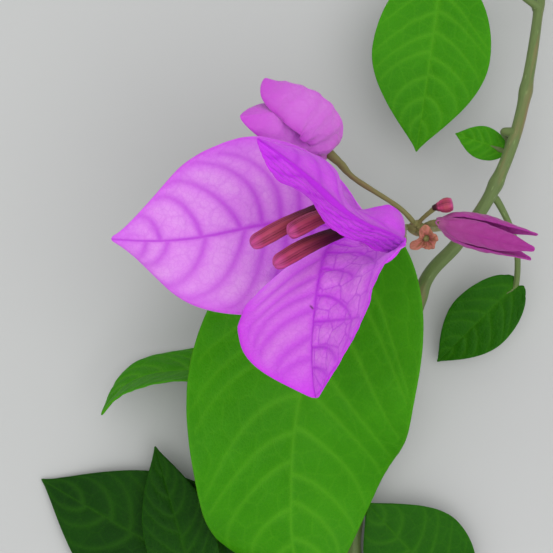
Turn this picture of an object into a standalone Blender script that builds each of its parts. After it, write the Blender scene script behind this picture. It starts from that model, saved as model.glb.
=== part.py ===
"""A cut flowering sprig of bougainvillea, lying on its leaves and the cut end of its stem.

The sprig is drawn in millimetres and degrees: X to the right, Y along the stem, Z up from
the surface it lies on. One open bloom of three bracts faces left and up, a young bloom is
still closed behind it, and a second young bloom points away to the right. Each petal-like
bract and each leaf is a blade worked out by the same formula from its own sizes.
"""

import math
from dataclasses import dataclass

import bmesh
import bpy
import numpy as np
from mathutils import Vector

MM = 0.001

# The point of the drawing that becomes the world's origin: under the middle of the sprig.
ORIGIN = (4.0, -0.4, 0.0)

BRACT_THICKNESS = 0.45
LEAF_THICKNESS = 0.75
WITHERED_WALL = 0.4

SEWN = 0.001            # points this close together are one before pieces are fused
STALK_IN_LEAF = 1.2     # how far a leaf's stalk runs on inside the foot of its blade

# Main places of the sprig, from which the pieces are hung.
OPEN_BLOOM_AT = (14.0, 6.8, 43.0)      # where the open bloom's left and lower bracts start
UPPER_BRACT_AT = (19.9, 5.0, 50.9)     # where its upper bract starts, back on the same stalk
FLOWER_NODE_AT = (23.0, 8.0, 41.0)     # where the flower stalks leave the shared stalk
YOUNG_BLOOM_AT = (8.8, 20.9, 37.0)
SIDE_BLOOM_AT = (26.6, 8.9, 43.5)
SMALL_BUD_AT = (25.5, 11.2, 44.2)
WITHERED_FLOWER_AT = (24.6, 5.8, 46.3)
OLD_FLOWER_FACES = (290.0, 60.0)       # heading and climb of the withered flower

# Colour, roughness of each material.
COLOURS = {
    "bract": ((0.66, 0.17, 0.80), 0.55),
    "young_bract": ((0.60, 0.12, 0.62), 0.55),
    "flower_tube": ((0.31, 0.03, 0.10), 0.45),
    "withered": ((0.45, 0.15, 0.12), 0.80),
    "leaf": ((0.06, 0.27, 0.02), 0.45),
    "shaded_leaf": ((0.015, 0.08, 0.008), 0.50),
    "green_stalk": ((0.16, 0.20, 0.06), 0.60),
    "flower_stalk": ((0.25, 0.19, 0.07), 0.60),
}


def clear_scene():
    """Start from an empty scene."""
    for existing in list(bpy.data.objects):
        bpy.data.objects.remove(existing, do_unlink=True)


def material(name):
    """The Principled material of one kind of tissue, made once."""
    made = bpy.data.materials.get(name)
    if made is None:
        colour, roughness = COLOURS[name]
        made = bpy.data.materials.new(name)
        made.use_nodes = True
        shader = made.node_tree.nodes["Principled BSDF"]
        shader.inputs["Base Color"].default_value = (*colour, 1.0)
        shader.inputs["Roughness"].default_value = roughness
        shader.inputs["Metallic"].default_value = 0.0
    return made


def place(name, data, finish):
    """Put a piece's data into the scene, with the drawing's origin point at the world's."""
    piece = bpy.data.objects.new(name, data)
    bpy.context.scene.collection.objects.link(piece)
    piece.location = -Vector(ORIGIN) * MM
    data.materials.append(material(finish))
    return piece


def mesh_of(name, points, faces, merge=0.0):
    """A smooth-shaded mesh of points in millimetres; points closer than merge become one."""
    mesh = bpy.data.meshes.new(name)
    mesh.from_pydata([tuple(p) for p in np.asarray(points) * MM], [], faces)
    work = bmesh.new()
    work.from_mesh(mesh)
    if merge > 0.0:
        bmesh.ops.remove_doubles(work, verts=work.verts, dist=merge * MM)
        bmesh.ops.dissolve_degenerate(work, edges=work.edges, dist=merge * MM)
    work.to_mesh(mesh)
    work.free()
    mesh.shade_smooth()
    return mesh


def grid_faces(rows, columns, closed=False):
    """Quads of a grid of rows by columns of points; a closed grid joins its last column on."""
    last = columns if closed else columns - 1
    return [
        (r * columns + c, r * columns + (c + 1) % columns,
         (r + 1) * columns + (c + 1) % columns, (r + 1) * columns + c)
        for r in range(rows - 1)
        for c in range(last)
    ]


# ---------------------------------------------------------------- blades: bracts and leaves

@dataclass
class Blade:
    """A bract or a leaf. Lists run from its base to its tip, at even steps of its length.

    heading and climb point its axis, which is the flower's axis for a bract; turn is its
    place round that axis, 0 on the upper side, 90 to the left of it and 180 beneath, and
    stand_off is how far its foot is from the axis. spread is how far the midrib leans away
    from the axis there, sweep how far it leans sideways and roll how far the blade is turned
    about its midrib. fold is how steeply each half rises from the midrib, towards the axis,
    and curl how much steeper it gets towards the margin. The shares widen or narrow each
    half along the blade, and lag is how far each half's corner hangs back past the foot.
    """

    base: tuple
    heading: float
    climb: float
    length: float
    half_width: float
    turn: float = 180.0
    stand_off: float = 0.0
    spread: tuple = (0.0, 0.0)
    sweep: tuple = (0.0, 0.0)
    roll: tuple = (0.0, 0.0)
    fold_left: tuple = (8.0, 8.0)
    fold_right: tuple = (8.0, 8.0)
    curl_left: tuple = (0.0, 0.0)
    curl_right: tuple = (0.0, 0.0)
    widest_at: float = 0.42
    base_share: float = 0.45
    taper: float = 1.2
    lobe: float = 1.0
    left_share: tuple = (1.0, 1.0)
    right_share: tuple = (1.0, 1.0)
    lag_left: float = 0.0
    lag_right: float = 0.0


def along(t, values):
    """Values given at even stations, eased into one another by a smooth step."""
    values = np.asarray(values, dtype=float)
    place_on = np.clip(t, 0.0, 1.0) * (len(values) - 1)
    step = np.minimum(place_on.astype(int), len(values) - 2)
    part = place_on - step
    part = part * part * (3.0 - 2.0 * part)
    return values[step] * (1.0 - part) + values[step + 1] * part


def unit(vector):
    """Vectors made one long."""
    return vector / np.linalg.norm(vector, axis=-1, keepdims=True)


def axis_of(heading, climb):
    """The direction with this plan angle and this climb above level."""
    heading, climb = math.radians(heading), math.radians(climb)
    return np.array([math.cos(climb) * math.cos(heading), math.cos(climb) * math.sin(heading),
                     math.sin(climb)])


def half_width(blade, t):
    """Half the blade's width at t: a round shoulder, then a pointed taper to the tip."""
    below = np.clip((blade.widest_at - t) / blade.widest_at, 0.0, 1.0)
    above = np.clip((t - blade.widest_at) / (1.0 - blade.widest_at), 0.0, 1.0)
    shoulder = blade.base_share + (1.0 - blade.base_share) * (1.0 - below**2) ** 0.75
    point = (1.0 - above) ** blade.taper * (1.0 + blade.taper * above)
    return blade.half_width * np.where(t < blade.widest_at, shoulder, point)


def midrib(blade, count=121):
    """Points, directions, sideways and upward vectors at even steps along the midrib."""
    t = np.linspace(0.0, 1.0, count)
    axis = axis_of(blade.heading, blade.climb)
    top = unit(np.array([0.0, 0.0, 1.0]) - axis[2] * axis)
    left = np.cross(axis, top)
    turn = math.radians(blade.turn)
    outward = math.cos(turn) * top + math.sin(turn) * left
    across = np.cross(axis, outward)
    spread = np.radians(along(t, blade.spread))[:, None]
    sweep = np.radians(along(t, blade.sweep))[:, None]
    roll = np.radians(along(t, blade.roll))[:, None]
    ahead = np.cos(spread) * axis + np.sin(spread) * outward
    ahead = np.cos(sweep) * ahead + np.sin(sweep) * across
    upward = np.sin(spread) * axis - np.cos(spread) * outward
    upward = unit(upward - np.sum(upward * ahead, axis=1, keepdims=True) * ahead)
    sideways = np.cross(upward, ahead)
    steps = (ahead[1:] + ahead[:-1]) / 2.0 * blade.length / (count - 1)
    foot = np.array(blade.base) + blade.stand_off * outward
    points = np.vstack([np.zeros(3), np.cumsum(steps, axis=0)]) + foot
    return (t, points, ahead, np.cos(roll) * sideways + np.sin(roll) * upward,
            np.cos(roll) * upward - np.sin(roll) * sideways)


def blade_points(blade, t, v):
    """Points of the blade at t along it and v across it, from -1 to 1.

    A half of the blade is a circular arc in the plane across the midrib: it leaves the
    midrib at the fold angle and turns by the curl angle on its way to the margin, so its
    chord is the arc's length times the sine of half the turn over half the turn.
    """
    t, v = np.broadcast_arrays(t, v)
    at, points, ahead, sideways, upward = midrib(blade)

    def read(values):
        return np.stack([np.interp(t, at, values[:, k]) for k in range(3)], axis=-1)

    on_left = v > 0
    reach = np.abs(v) * half_width(blade, t)
    reach = reach * np.where(on_left, along(t, blade.left_share), along(t, blade.right_share))
    fold = np.radians(np.where(on_left, along(t, blade.fold_left), along(t, blade.fold_right)))
    curl = np.radians(np.where(on_left, along(t, blade.curl_left), along(t, blade.curl_right)))
    half_turn = curl * np.abs(v) / 2.0
    chord = reach * np.sinc(half_turn / np.pi)
    out = chord * np.cos(fold + half_turn) * np.where(on_left, 1.0, -1.0)
    lift = chord * np.sin(fold + half_turn)
    back = blade.lobe * np.sin(np.pi * np.abs(v)) ** 2
    back = back + np.where(on_left, blade.lag_left, blade.lag_right) * v**2
    back = back * np.clip(1.0 - t / blade.widest_at, 0.0, 1.0) ** 1.5
    return (read(points) - read(ahead) * back[..., None] + read(sideways) * out[..., None]
            + read(upward) * lift[..., None])


def add_blade(name, blade, thickness, finish, rows=15, columns=13):
    """A blade as a closed solid: its surface, thickened to both sides."""
    t = np.linspace(0.0, 1.0, rows) ** 1.1
    v = np.linspace(-1.0, 1.0, columns)
    points = blade_points(blade, t[:, None], v[None, :]).reshape(-1, 3)
    mesh = mesh_of(name, points, grid_faces(rows, columns), merge=0.02)
    piece = place(name, mesh, finish)
    body = piece.modifiers.new("thickness", "SOLIDIFY")
    body.thickness = thickness * MM
    body.offset = 0.0
    return piece


# ---------------------------------------------------------------- stalks and flower tubes

def smooth_path(knots, count):
    """Points along a Catmull-Rom curve through the knots, evenly spread over its spans."""
    knots = np.asarray(knots, dtype=float)
    padded = np.vstack([2 * knots[0] - knots[1], knots, 2 * knots[-1] - knots[-2]])
    at = np.linspace(0.0, len(knots) - 1.0, count)
    span = np.minimum(at.astype(int), len(knots) - 2)
    u = (at - span)[:, None]
    a, b, c, d = (padded[span + k] for k in range(4))
    return 0.5 * (2 * b + (c - a) * u + (2 * a - 5 * b + 4 * c - d) * u**2
                  + (3 * b - a - 3 * c + d) * u**3)


def add_stalk(name, knots, radii, finish, count=12, resolution=2):
    """A round tapering stalk through the knots, its radii given at even stations."""
    curve = bpy.data.curves.new(name, "CURVE")
    curve.dimensions = "3D"
    curve.bevel_depth = MM
    curve.bevel_resolution = resolution
    curve.use_fill_caps = True
    path = smooth_path(knots, count)
    radius = along(np.linspace(0.0, 1.0, count), radii)
    spline = curve.splines.new("POLY")
    spline.points.add(count - 1)
    for point, at, size in zip(spline.points, path, radius):
        point.co = (*(at * MM), 1.0)
        point.radius = size
    return place(name, curve, finish)


def add_bud(name, base, tip, radii, finish, ribs=5, rib_depth=0.10, sides=15, rings=9):
    """A closed flower tube: ribbed rings of the given radii from its base to its tip."""
    base, tip = np.array(base), np.array(tip)
    ahead = unit(tip - base)
    side = unit(np.cross(ahead, [0.0, 0.0, 1.0]))
    up = np.cross(side, ahead)
    t = np.linspace(0.0, 1.0, rings)[:, None]
    angle = (np.arange(sides) * 2.0 * np.pi / sides)[None, :]
    radius = along(t, radii) * (1.0 + rib_depth * np.cos(ribs * angle))
    points = (base + (t + 0.0 * angle)[..., None] * (tip - base)
              + (radius * np.cos(angle))[..., None] * side
              + (radius * np.sin(angle))[..., None] * up)
    faces = [tuple(reversed(face)) for face in grid_faces(rings, sides, closed=True)]
    faces.append(tuple(range(sides)))
    faces.append(tuple(reversed(range((rings - 1) * sides, rings * sides))))
    return place(name, mesh_of(name, points.reshape(-1, 3), faces), finish)


def add_withered_flower(name, centre, heading, climb, finish):
    """A dried flower's funnel: an open cone whose rim is drawn out in four short teeth."""
    rings, sides = 5, 24
    tube_radius, reach, tooth, depth = 0.45, 1.15, 0.8, 1.6
    ahead = axis_of(heading, climb)
    side = unit(np.cross(ahead, [0.0, 0.0, 1.0]))
    up = np.cross(side, ahead)
    s = np.linspace(0.0, 1.0, rings)[:, None]
    angle = (np.arange(sides) * 2.0 * np.pi / sides)[None, :]
    radius = tube_radius + reach * s + tooth * s**2 * np.cos(2.0 * angle) ** 2
    height = -depth * (1.0 - s) ** 2 + 0.0 * angle
    points = (np.array(centre) + (radius * np.cos(angle))[..., None] * side
              + (radius * np.sin(angle))[..., None] * up + height[..., None] * ahead)
    faces = grid_faces(rings, sides, closed=True)
    piece = place(name, mesh_of(name, points.reshape(-1, 3), faces), finish)
    body = piece.modifiers.new("wall", "SOLIDIFY")
    body.thickness = WITHERED_WALL * MM
    body.offset = 0.0
    return piece


def as_mesh(piece, sew=0.0):
    """Swap a piece for one with its modified shape as a mesh; points within sew are joined."""
    bpy.context.view_layer.update()
    graph = bpy.context.evaluated_depsgraph_get()
    mesh = bpy.data.meshes.new_from_object(piece.evaluated_get(graph))
    if sew > 0.0:
        work = bmesh.new()
        work.from_mesh(mesh)
        bmesh.ops.remove_doubles(work, verts=work.verts, dist=sew * MM)
        work.to_mesh(mesh)
        work.free()
    solid = bpy.data.objects.new(piece.name, mesh)
    solid.location = piece.location
    bpy.context.scene.collection.objects.link(solid)
    bpy.data.objects.remove(piece, do_unlink=True)
    return solid


def keep_largest_body(mesh):
    """Drop the loose scraps and fill the sealed hollows that a union can leave."""
    work = bmesh.new()
    work.from_mesh(mesh)
    bodies, seen = [], set()
    for start in work.verts:
        if start in seen:
            continue
        body, front = {start}, [start]
        while front:
            reached = {edge.other_vert(vert) for vert in front for edge in vert.link_edges}
            front = list(reached - body)
            body |= reached
        seen |= body
        bodies.append(body)
    largest = max(bodies, key=len)
    spare = [vert for vert in work.verts if vert not in largest]
    bmesh.ops.delete(work, geom=spare, context="VERTS")
    work.to_mesh(mesh)
    work.free()


def fuse(name, pieces, solver="EXACT"):
    """Join pieces that grow into one another; the result has the first one's material."""
    first, *others = [as_mesh(piece, sew=SEWN) for piece in pieces]
    group = bpy.data.collections.new(name)
    for other in others:
        group.objects.link(other)
    union = first.modifiers.new("union", "BOOLEAN")
    union.operation = "UNION"
    union.operand_type = "COLLECTION"
    union.collection = group
    union.solver = solver
    union.use_self = solver == "EXACT"
    whole = as_mesh(first)
    whole.name = name
    keep_largest_body(whole.data)
    for other in others:
        bpy.data.objects.remove(other, do_unlink=True)
    bpy.data.collections.remove(group)
    return whole


# ---------------------------------------------------------------- the sprig

OPEN_BLOOM_AXIS = {"heading": 192.0, "climb": 33.0}

OPEN_BRACTS = (
    Blade(base=OPEN_BLOOM_AT, **OPEN_BLOOM_AXIS, turn=166.0, stand_off=1.2, length=42.0,
          half_width=16.0, widest_at=0.42, base_share=0.34, taper=1.18, lobe=2.0,
          left_share=(0.97, 0.97), right_share=(1.07, 1.07),
          spread=(64.0, 22.0, 42.0), sweep=(-15.0, 6.0, -7.0), roll=(-38.0, 4.0),
          fold_left=(-22.0, 9.0, 4.0, -8.0), fold_right=(-29.0, -14.0, -1.0, 18.0),
          curl_left=(26.0, 53.0, -45.0), curl_right=(24.0, 17.0, -16.0)),
    Blade(base=OPEN_BLOOM_AT, **OPEN_BLOOM_AXIS, turn=-78.4, stand_off=0.3, length=36.8,
          half_width=15.5, widest_at=0.61, base_share=0.65, taper=1.18, lobe=2.6, lag_left=2.4,
          left_share=(0.56, 0.97, 1.08, 1.10), right_share=(1.32, 1.0, 1.02, 1.30),
          spread=(-10.0, 43.6, 65.5, 87.8), sweep=(1.0, 24.0, -3.5, -16.0),
          roll=(-17.0, -21.0, -17.0, -7.0),
          fold_left=(-46.0, -29.0, -3.0, 23.0), fold_right=(-16.0, -5.0, 3.0, 19.0),
          curl_left=(-4.0, 34.0, 31.0, -18.0), curl_right=(-31.0, 6.0, 6.0)),
    Blade(base=UPPER_BRACT_AT, **OPEN_BLOOM_AXIS, turn=39.7, stand_off=0.8, length=36.6,
          half_width=6.8, widest_at=0.70, base_share=0.55, taper=0.85,
          lobe=-2.0, lag_left=1.5, lag_right=-4.9,
          left_share=(0.60, 1.25, 1.48, 1.05, 1.42, 1.36, 1.18),
          right_share=(0.82, 0.58, 0.78, 0.54),
          spread=(54.0, 21.7, 32.8, 7.7), sweep=(-34.5, 15.0, 54.7, 62.3),
          roll=(-62.8, -31.5, -50.7, -12.4),
          fold_left=(26.5, 34.4, 17.8, 5.6), fold_right=(11.3, 39.2, 67.4, 22.8),
          curl_left=(-19.1, 30.9, 40.7, 47.9), curl_right=(36.1, 40.2, 51.1, 27.5)),
)

# Closed flower tubes of the open bloom: where each starts and where its tip is.
FLOWER_TUBES = {
    "flower_tube_left": ((7.3, 11.0, 49.0), (-4.0, 5.0, 52.0)),
    "flower_tube_upper": ((9.4, 10.4, 52.0), (2.0, 6.8, 56.0)),
    "flower_tube_lower": ((11.0, 7.4, 49.0), (-0.4, 1.8, 55.0)),
}
TUBE_RADII = (0.55, 0.85, 0.85, 1.05, 1.28, 1.26, 0.60)
SMALL_BUD_REACH = (3.3, 0.7, 0.6)
SMALL_BUD_RADII = (0.45, 0.75, 1.15, 1.15, 0.5)


def closed_bloom(base, heading, climb, half_width, bracts):
    """The bracts of a young bloom, cupped round the same axis with their margins together."""
    cupped = {"base": base, "heading": heading, "climb": climb, "stand_off": 0.5,
              "half_width": half_width, "widest_at": 0.45, "base_share": 0.35, "lobe": 1.0,
              "fold_left": (5.0, 10.0, 5.0), "fold_right": (5.0, 10.0, 5.0),
              "curl_left": (60.0, 62.0, 40.0), "curl_right": (60.0, 62.0, 40.0)}
    return [Blade(**{**cupped, **bract}) for bract in bracts]


YOUNG_BLOOM = closed_bloom(
    YOUNG_BLOOM_AT, heading=160.0, climb=2.0, half_width=7.4,
    bracts=({"turn": 74.0, "length": 21.9, "half_width": 8.4, "widest_at": 0.56,
             "base_share": 0.45, "taper": 0.74,
             "right_share": (1.03, 1.07, 1.14, 1.06, 1.09),
             "spread": (133.0, 77.0, 41.0, 22.0, 0.0, -15.0, -1.0),
             "sweep": (-15.0, -14.0, -14.0, -13.0, 6.0, 32.0), "roll": (-4.0, -10.0, -25.0),
             "fold_left": (7.0, 10.0, 9.0), "fold_right": (13.0, 5.0, -8.0),
             "curl_left": (58.0, 66.0, 79.0), "curl_right": (59.0, 62.0, 68.0)},
            {"turn": 36.0, "length": 22.6, "half_width": 7.8, "widest_at": 0.50,
             "taper": 0.85, "spread": (115.0, 48.0, 2.0, -14.0, -10.0),
             "sweep": (0.0, 0.0, -13.0, -26.0, -24.0)},
            {"turn": -100.0, "length": 17.0, "half_width": 7.0,
             "spread": (85.0, 30.0, -10.0, -10.0)}))
SIDE_BLOOM = closed_bloom(
    SIDE_BLOOM_AT, heading=-15.0, climb=4.0, half_width=3.5,
    bracts=({"turn": 10.0, "length": 17.0, "spread": (45.0, 8.0, -10.0, 0.0)},
            {"turn": 130.0, "length": 17.0, "spread": (45.0, 8.0, -10.0, 5.0)},
            {"turn": -110.0, "length": 17.0, "spread": (45.0, 8.0, -8.0, -4.0)}))

STEM = ((13.4, -75.4, 1.55), (13.7, -58.8, 2.4), (14.2, -46.1, 2.6), (17.3, -31.4, 4.2),
        (22.5, -16.8, 8.0), (26.1, -1.5, 13.0), (31.9, 5.9, 16.0), (37.5, 14.3, 17.0),
        (42.0, 24.9, 16.0), (44.8, 36.5, 13.5), (47.1, 49.4, 9.0), (48.4, 58.9, 5.0))
STEM_RADII = (1.55, 1.35, 1.2, 1.05, 0.75)

LEAVES = {
    "leaf_large": Blade(
        base=(11.9, 9.5, 20.0), heading=262.0, climb=-5.5, length=73.0, half_width=20.0,
        widest_at=0.40, base_share=0.48, taper=0.85, lobe=3.0, right_share=(1.02, 1.02),
        spread=(8.0, -4.0, 5.0, 26.0), sweep=(-2.0, -9.0, 7.0, 28.0),
        roll=(2.0, 9.0, -18.0, 15.0),
        fold_left=(12.0, 7.0, -11.0), fold_right=(5.0, 11.0, -21.0),
        curl_left=(4.0, -1.0, -11.0), curl_right=(-1.0, 4.0, -20.0)),
    "leaf_upper": Blade(
        base=(29.2, 52.3, 12.0), heading=262.0, climb=2.0, length=30.5, half_width=10.6,
        base_share=0.5, taper=1.25, spread=(0.0, 6.0, 14.0)),
    "leaf_young": Blade(
        base=(40.2, 22.4, 12.6), heading=160.0, climb=0.0, length=9.0, half_width=3.0,
        lobe=0.5, spread=(0.0, 10.0)),
    "leaf_right": Blade(
        base=(42.8, -1.5, 8.0), heading=226.0, climb=-8.0, length=20.5, half_width=5.8,
        lobe=1.0, spread=(0.0, 8.0, 20.0)),
    "leaf_left": Blade(
        base=(-2.6, -17.1, 9.2), heading=175.0, climb=0.0, length=32.0, half_width=8.0,
        lobe=1.0, sweep=(0.0, 10.0, 62.0), spread=(0.0, 3.0, 12.0), roll=(66.0, 70.0, 60.0)),
    "leaf_lower_left": Blade(
        base=(-3.2, -60.0, 2.9), heading=150.0, climb=-1.8, length=46.0, half_width=14.0,
        lobe=1.4, spread=(0.0, 0.0, 4.0), fold_left=(3.0, 2.0), fold_right=(3.0, 2.0)),
    "leaf_lower_middle": Blade(
        base=(-14.0, -58.5, 6.2), heading=106.0, climb=-2.0, length=29.0, half_width=6.5,
        lobe=1.0, spread=(0.0, 0.0, 4.0)),
    "leaf_lower_right": Blade(
        base=(32.4, -58.8, 2.6), heading=132.0, climb=8.0, length=24.5, half_width=10.0,
        lobe=1.4, spread=(0.0, 0.0, 4.0), fold_left=(3.0, 2.0), fold_right=(3.0, 2.0)),
    "leaf_tip": Blade(
        base=(48.2, 60.9, 4.6), heading=118.0, climb=-2.0, length=16.0, half_width=5.4,
        lobe=1.0, spread=(0.0, 8.0, 30.0)),
}
SHADED_LEAVES = ("leaf_right", "leaf_lower_left", "leaf_lower_middle", "leaf_lower_right")

# Leaf stalks: from beside the stem, the points on the way to the foot of each leaf.
LEAF_STALKS = {
    "leaf_large": ((22.0, -11.5, 11.3), (17.5, 0.5, 17.5)),
    "leaf_upper": ((45.0, 49.2, 10.6), (38.0, 53.2, 13.0)),
    "leaf_young": ((40.1, 25.5, 15.2), (41.0, 24.0, 13.6)),
    "leaf_right": ((38.9, 13.2, 16.0), (42.4, 6.0, 12.8)),
    "leaf_left": ((15.7, -29.6, 4.4), (7.0, -22.5, 8.0)),
    "leaf_lower_left": ((11.4, -66.4, 2.4), (5.0, -63.2, 3.2)),
    "leaf_lower_middle": ((11.8, -62.9, 3.2), (0.0, -59.4, 6.4)),
    "leaf_lower_right": ((15.5, -66.0, 2.3), (25.0, -65.0, 2.6)),
    "leaf_tip": ((48.3, 59.7, 4.7),),
}
LEAF_STALK_RADII = (0.75, 0.55, 0.50)


def add_leaf(name):
    """A leaf fused with its stalk, which ends inside the foot of the midrib."""
    leaf = LEAVES[name]
    _, points, ahead, _, _ = midrib(leaf)
    finish = "shaded_leaf" if name in SHADED_LEAVES else "leaf"
    size = {"rows": 17, "columns": 13} if leaf.length > 50.0 else {"rows": 12, "columns": 9}
    blade = add_blade(name + "_blade", leaf, LEAF_THICKNESS, finish, **size)
    inside = points[0] + ahead[0] * STALK_IN_LEAF
    stalk = add_stalk(name + "_stalk", (*LEAF_STALKS[name], tuple(inside)),
                      LEAF_STALK_RADII, "green_stalk", count=8)
    fuse(name, (blade, stalk))


def add_flower_stalk(name, knots, radii, count):
    """The stalk of one flower, from just clear of the shared stalk's head."""
    return add_stalk(name, knots, radii, "flower_stalk", count=count)


def add_open_bloom():
    """Three wide bracts that grow from the end of one stalk, and the tubes among them."""
    node = np.array(FLOWER_NODE_AT)
    pieces = [
        add_blade(f"open_bract_{number}", bract, BRACT_THICKNESS, "bract", rows=16, columns=11)
        for number, bract in enumerate(OPEN_BRACTS, start=1)
    ]
    pieces.append(add_flower_stalk(
        "open_stalk", (node + (-1.8, 0.1, 0.4), (20.6, 7.0, 46.4), (20.0, 5.5, 50.9),
                       (16.6, 6.2, 48.0), (13.4, 6.6, 43.4)),
        (0.50, 0.55, 0.7, 0.9, 1.4), count=15))
    fuse("open_bloom", pieces, solver="MANIFOLD")
    for name, (start, tip) in FLOWER_TUBES.items():
        add_bud(name, start, tip, TUBE_RADII, "flower_tube")


def add_closed_bloom(name, bracts, stalk_knots, stalk_radii):
    """A young bloom whose bracts still stand together, fused at their feet to its stalk."""
    pieces = [
        add_blade(f"{name}_{number}", bract, BRACT_THICKNESS, "young_bract", rows=8, columns=7)
        for number, bract in enumerate(bracts, start=1)
    ]
    pieces.append(add_flower_stalk(name + "_stalk", stalk_knots, stalk_radii, count=10))
    fuse(name, pieces, solver="MANIFOLD")


def add_small_bud():
    """The youngest flower, a club-shaped bud on a short stalk."""
    node, start = np.array(FLOWER_NODE_AT), np.array(SMALL_BUD_AT)
    bud = add_bud("bud_body", start, start + SMALL_BUD_REACH, SMALL_BUD_RADII,
                  "flower_tube", rings=8)
    stalk = add_flower_stalk("bud_stalk", (node + (0.9, 1.4, 0.8), start + (0.4, 0.1, 0.0)),
                             (0.35, 0.40), count=5)
    fuse("small_bud", (bud, stalk))


def add_old_flower():
    """A withered flower on its short stalk."""
    node, centre = np.array(FLOWER_NODE_AT), np.array(WITHERED_FLOWER_AT)
    funnel = add_withered_flower("old_funnel", centre, *OLD_FLOWER_FACES, "withered")
    bottom = centre - axis_of(*OLD_FLOWER_FACES) * 1.0
    stalk = add_flower_stalk("old_stalk", (node + (0.4, -0.9, 1.3), bottom),
                             (0.40, 0.60), count=5)
    fuse("withered_flower", (funnel, stalk))


def build():
    """Make every piece of the sprig."""
    clear_scene()
    node = np.array(FLOWER_NODE_AT)
    add_stalk("stem", STEM, STEM_RADII, "green_stalk", count=46, resolution=4)
    add_stalk("flower_stalk_shared",
              ((34.9, 10.5, 18.6), (32.0, 9.5, 24.0), (27.0, 8.2, 34.0), tuple(node)),
              (0.75, 0.62, 0.65, 1.0), "green_stalk")
    for name in LEAVES:
        add_leaf(name)
    add_open_bloom()
    add_closed_bloom("young_bloom", YOUNG_BLOOM,
                     (node + (-0.9, 1.5, 0.6), (19.6, 11.8, 41.4), (13.0, 16.2, 39.2),
                      (10.6, 18.8, 37.6), (8.0, 21.2, 37.0)), (0.45, 0.42, 0.60, 1.0))
    add_closed_bloom("side_bloom", SIDE_BLOOM,
                     (node + (1.5, 0.4, 0.7), (25.6, 8.7, 42.8), (27.2, 8.7, 43.6)),
                     (0.45, 0.60, 0.8))
    add_small_bud()
    add_old_flower()


build()
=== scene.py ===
"""A cut flowering sprig of bougainvillea, dressed over its solid model and lit on a pale floor.

Sizes are in millimetres and degrees, in the drawing of the sprig: X to the right, Y along
the stem, Z up from the floor. Every mesh is moved to the model's frame, in metres, when it
is made. Each section below is one part of the sprig, in the order in which it grows.
"""

import math

import bpy
import numpy as np
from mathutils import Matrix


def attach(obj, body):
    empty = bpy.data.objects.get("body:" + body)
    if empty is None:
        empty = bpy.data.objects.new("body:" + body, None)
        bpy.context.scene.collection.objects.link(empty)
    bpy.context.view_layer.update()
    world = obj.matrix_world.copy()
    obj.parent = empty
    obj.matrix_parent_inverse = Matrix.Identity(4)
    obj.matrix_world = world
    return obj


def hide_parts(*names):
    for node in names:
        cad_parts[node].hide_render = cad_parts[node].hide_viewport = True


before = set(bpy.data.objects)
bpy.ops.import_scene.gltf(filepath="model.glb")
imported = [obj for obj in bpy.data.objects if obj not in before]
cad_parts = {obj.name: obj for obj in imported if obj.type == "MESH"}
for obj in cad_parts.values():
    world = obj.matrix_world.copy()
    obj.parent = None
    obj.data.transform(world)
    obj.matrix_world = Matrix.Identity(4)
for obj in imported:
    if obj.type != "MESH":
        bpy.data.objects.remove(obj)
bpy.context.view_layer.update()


# ------------------------------------------------------------------------------- the stem
# A green shoot of this year's growth, cut through below. It is round, finely furrowed
# along its length, and swells a little at each joint where a leaf stalk leaves it.

MM = 0.001
ORIGIN = np.array([4.0, -0.4, 0.0])     # the drawing's point that lies at the world's origin

STEM = ((13.4, -75.4, 1.55), (13.7, -58.8, 2.4), (14.2, -46.1, 2.6), (17.3, -31.4, 4.2),
        (22.5, -16.8, 8.0), (26.1, -1.5, 13.0), (31.9, 5.9, 16.0), (37.5, 14.3, 17.0),
        (42.0, 24.9, 16.0), (44.8, 36.5, 13.5), (47.1, 49.4, 9.0), (48.4, 58.9, 5.0))
STEM_RADII = (1.55, 1.35, 1.2, 1.05, 0.75)
STEM_JOINTS = (0.095, 0.15, 0.235, 0.44, 0.655, 0.79, 0.905)
JOINT_SWELL = 0.22
JOINT_LENGTH = 0.012            # as a share of the stem's length
STEM_RINGS, STEM_SIDES = 420, 40
STEM_CUT = np.linspace(0.15, 0.97, 5)      # how the cut end and the tip close, as shares
STEM_END = np.linspace(0.9, 0.2, 4)        # of the radius, ring by ring
STEM_FURROWS = 11
FURROW_DEPTH = 0.018            # as a share of the radius
FURROW_TWIST = 6.0              # radians from end to end


def along(t, values):
    """Values given at even stations from 0 to 1, eased into one another by a smooth step."""
    values = np.asarray(values, dtype=float)
    place_on = np.clip(t, 0.0, 1.0) * (len(values) - 1)
    step = np.minimum(place_on.astype(int), len(values) - 2)
    part = place_on - step
    part = part * part * (3.0 - 2.0 * part)
    return values[step] * (1.0 - part) + values[step + 1] * part


def unit(vector):
    """Vectors made one long."""
    return vector / np.linalg.norm(vector, axis=-1, keepdims=True)


def curve_at(knots, t):
    """Points at t, from 0 to 1, on a Catmull-Rom curve through the knots at even steps of t."""
    knots = np.asarray(knots, dtype=float)
    padded = np.vstack([2 * knots[0] - knots[1], knots, 2 * knots[-1] - knots[-2]])
    at = np.clip(t, 0.0, 1.0) * (len(knots) - 1)
    span = np.minimum(at.astype(int), len(knots) - 2)
    u = (at - span)[..., None]
    a, b, c, d = (padded[span + k] for k in range(4))
    return 0.5 * (2 * b + (c - a) * u + (2 * a - 5 * b + 4 * c - d) * u**2
                  + (3 * b - a - 3 * c + d) * u**3)


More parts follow.
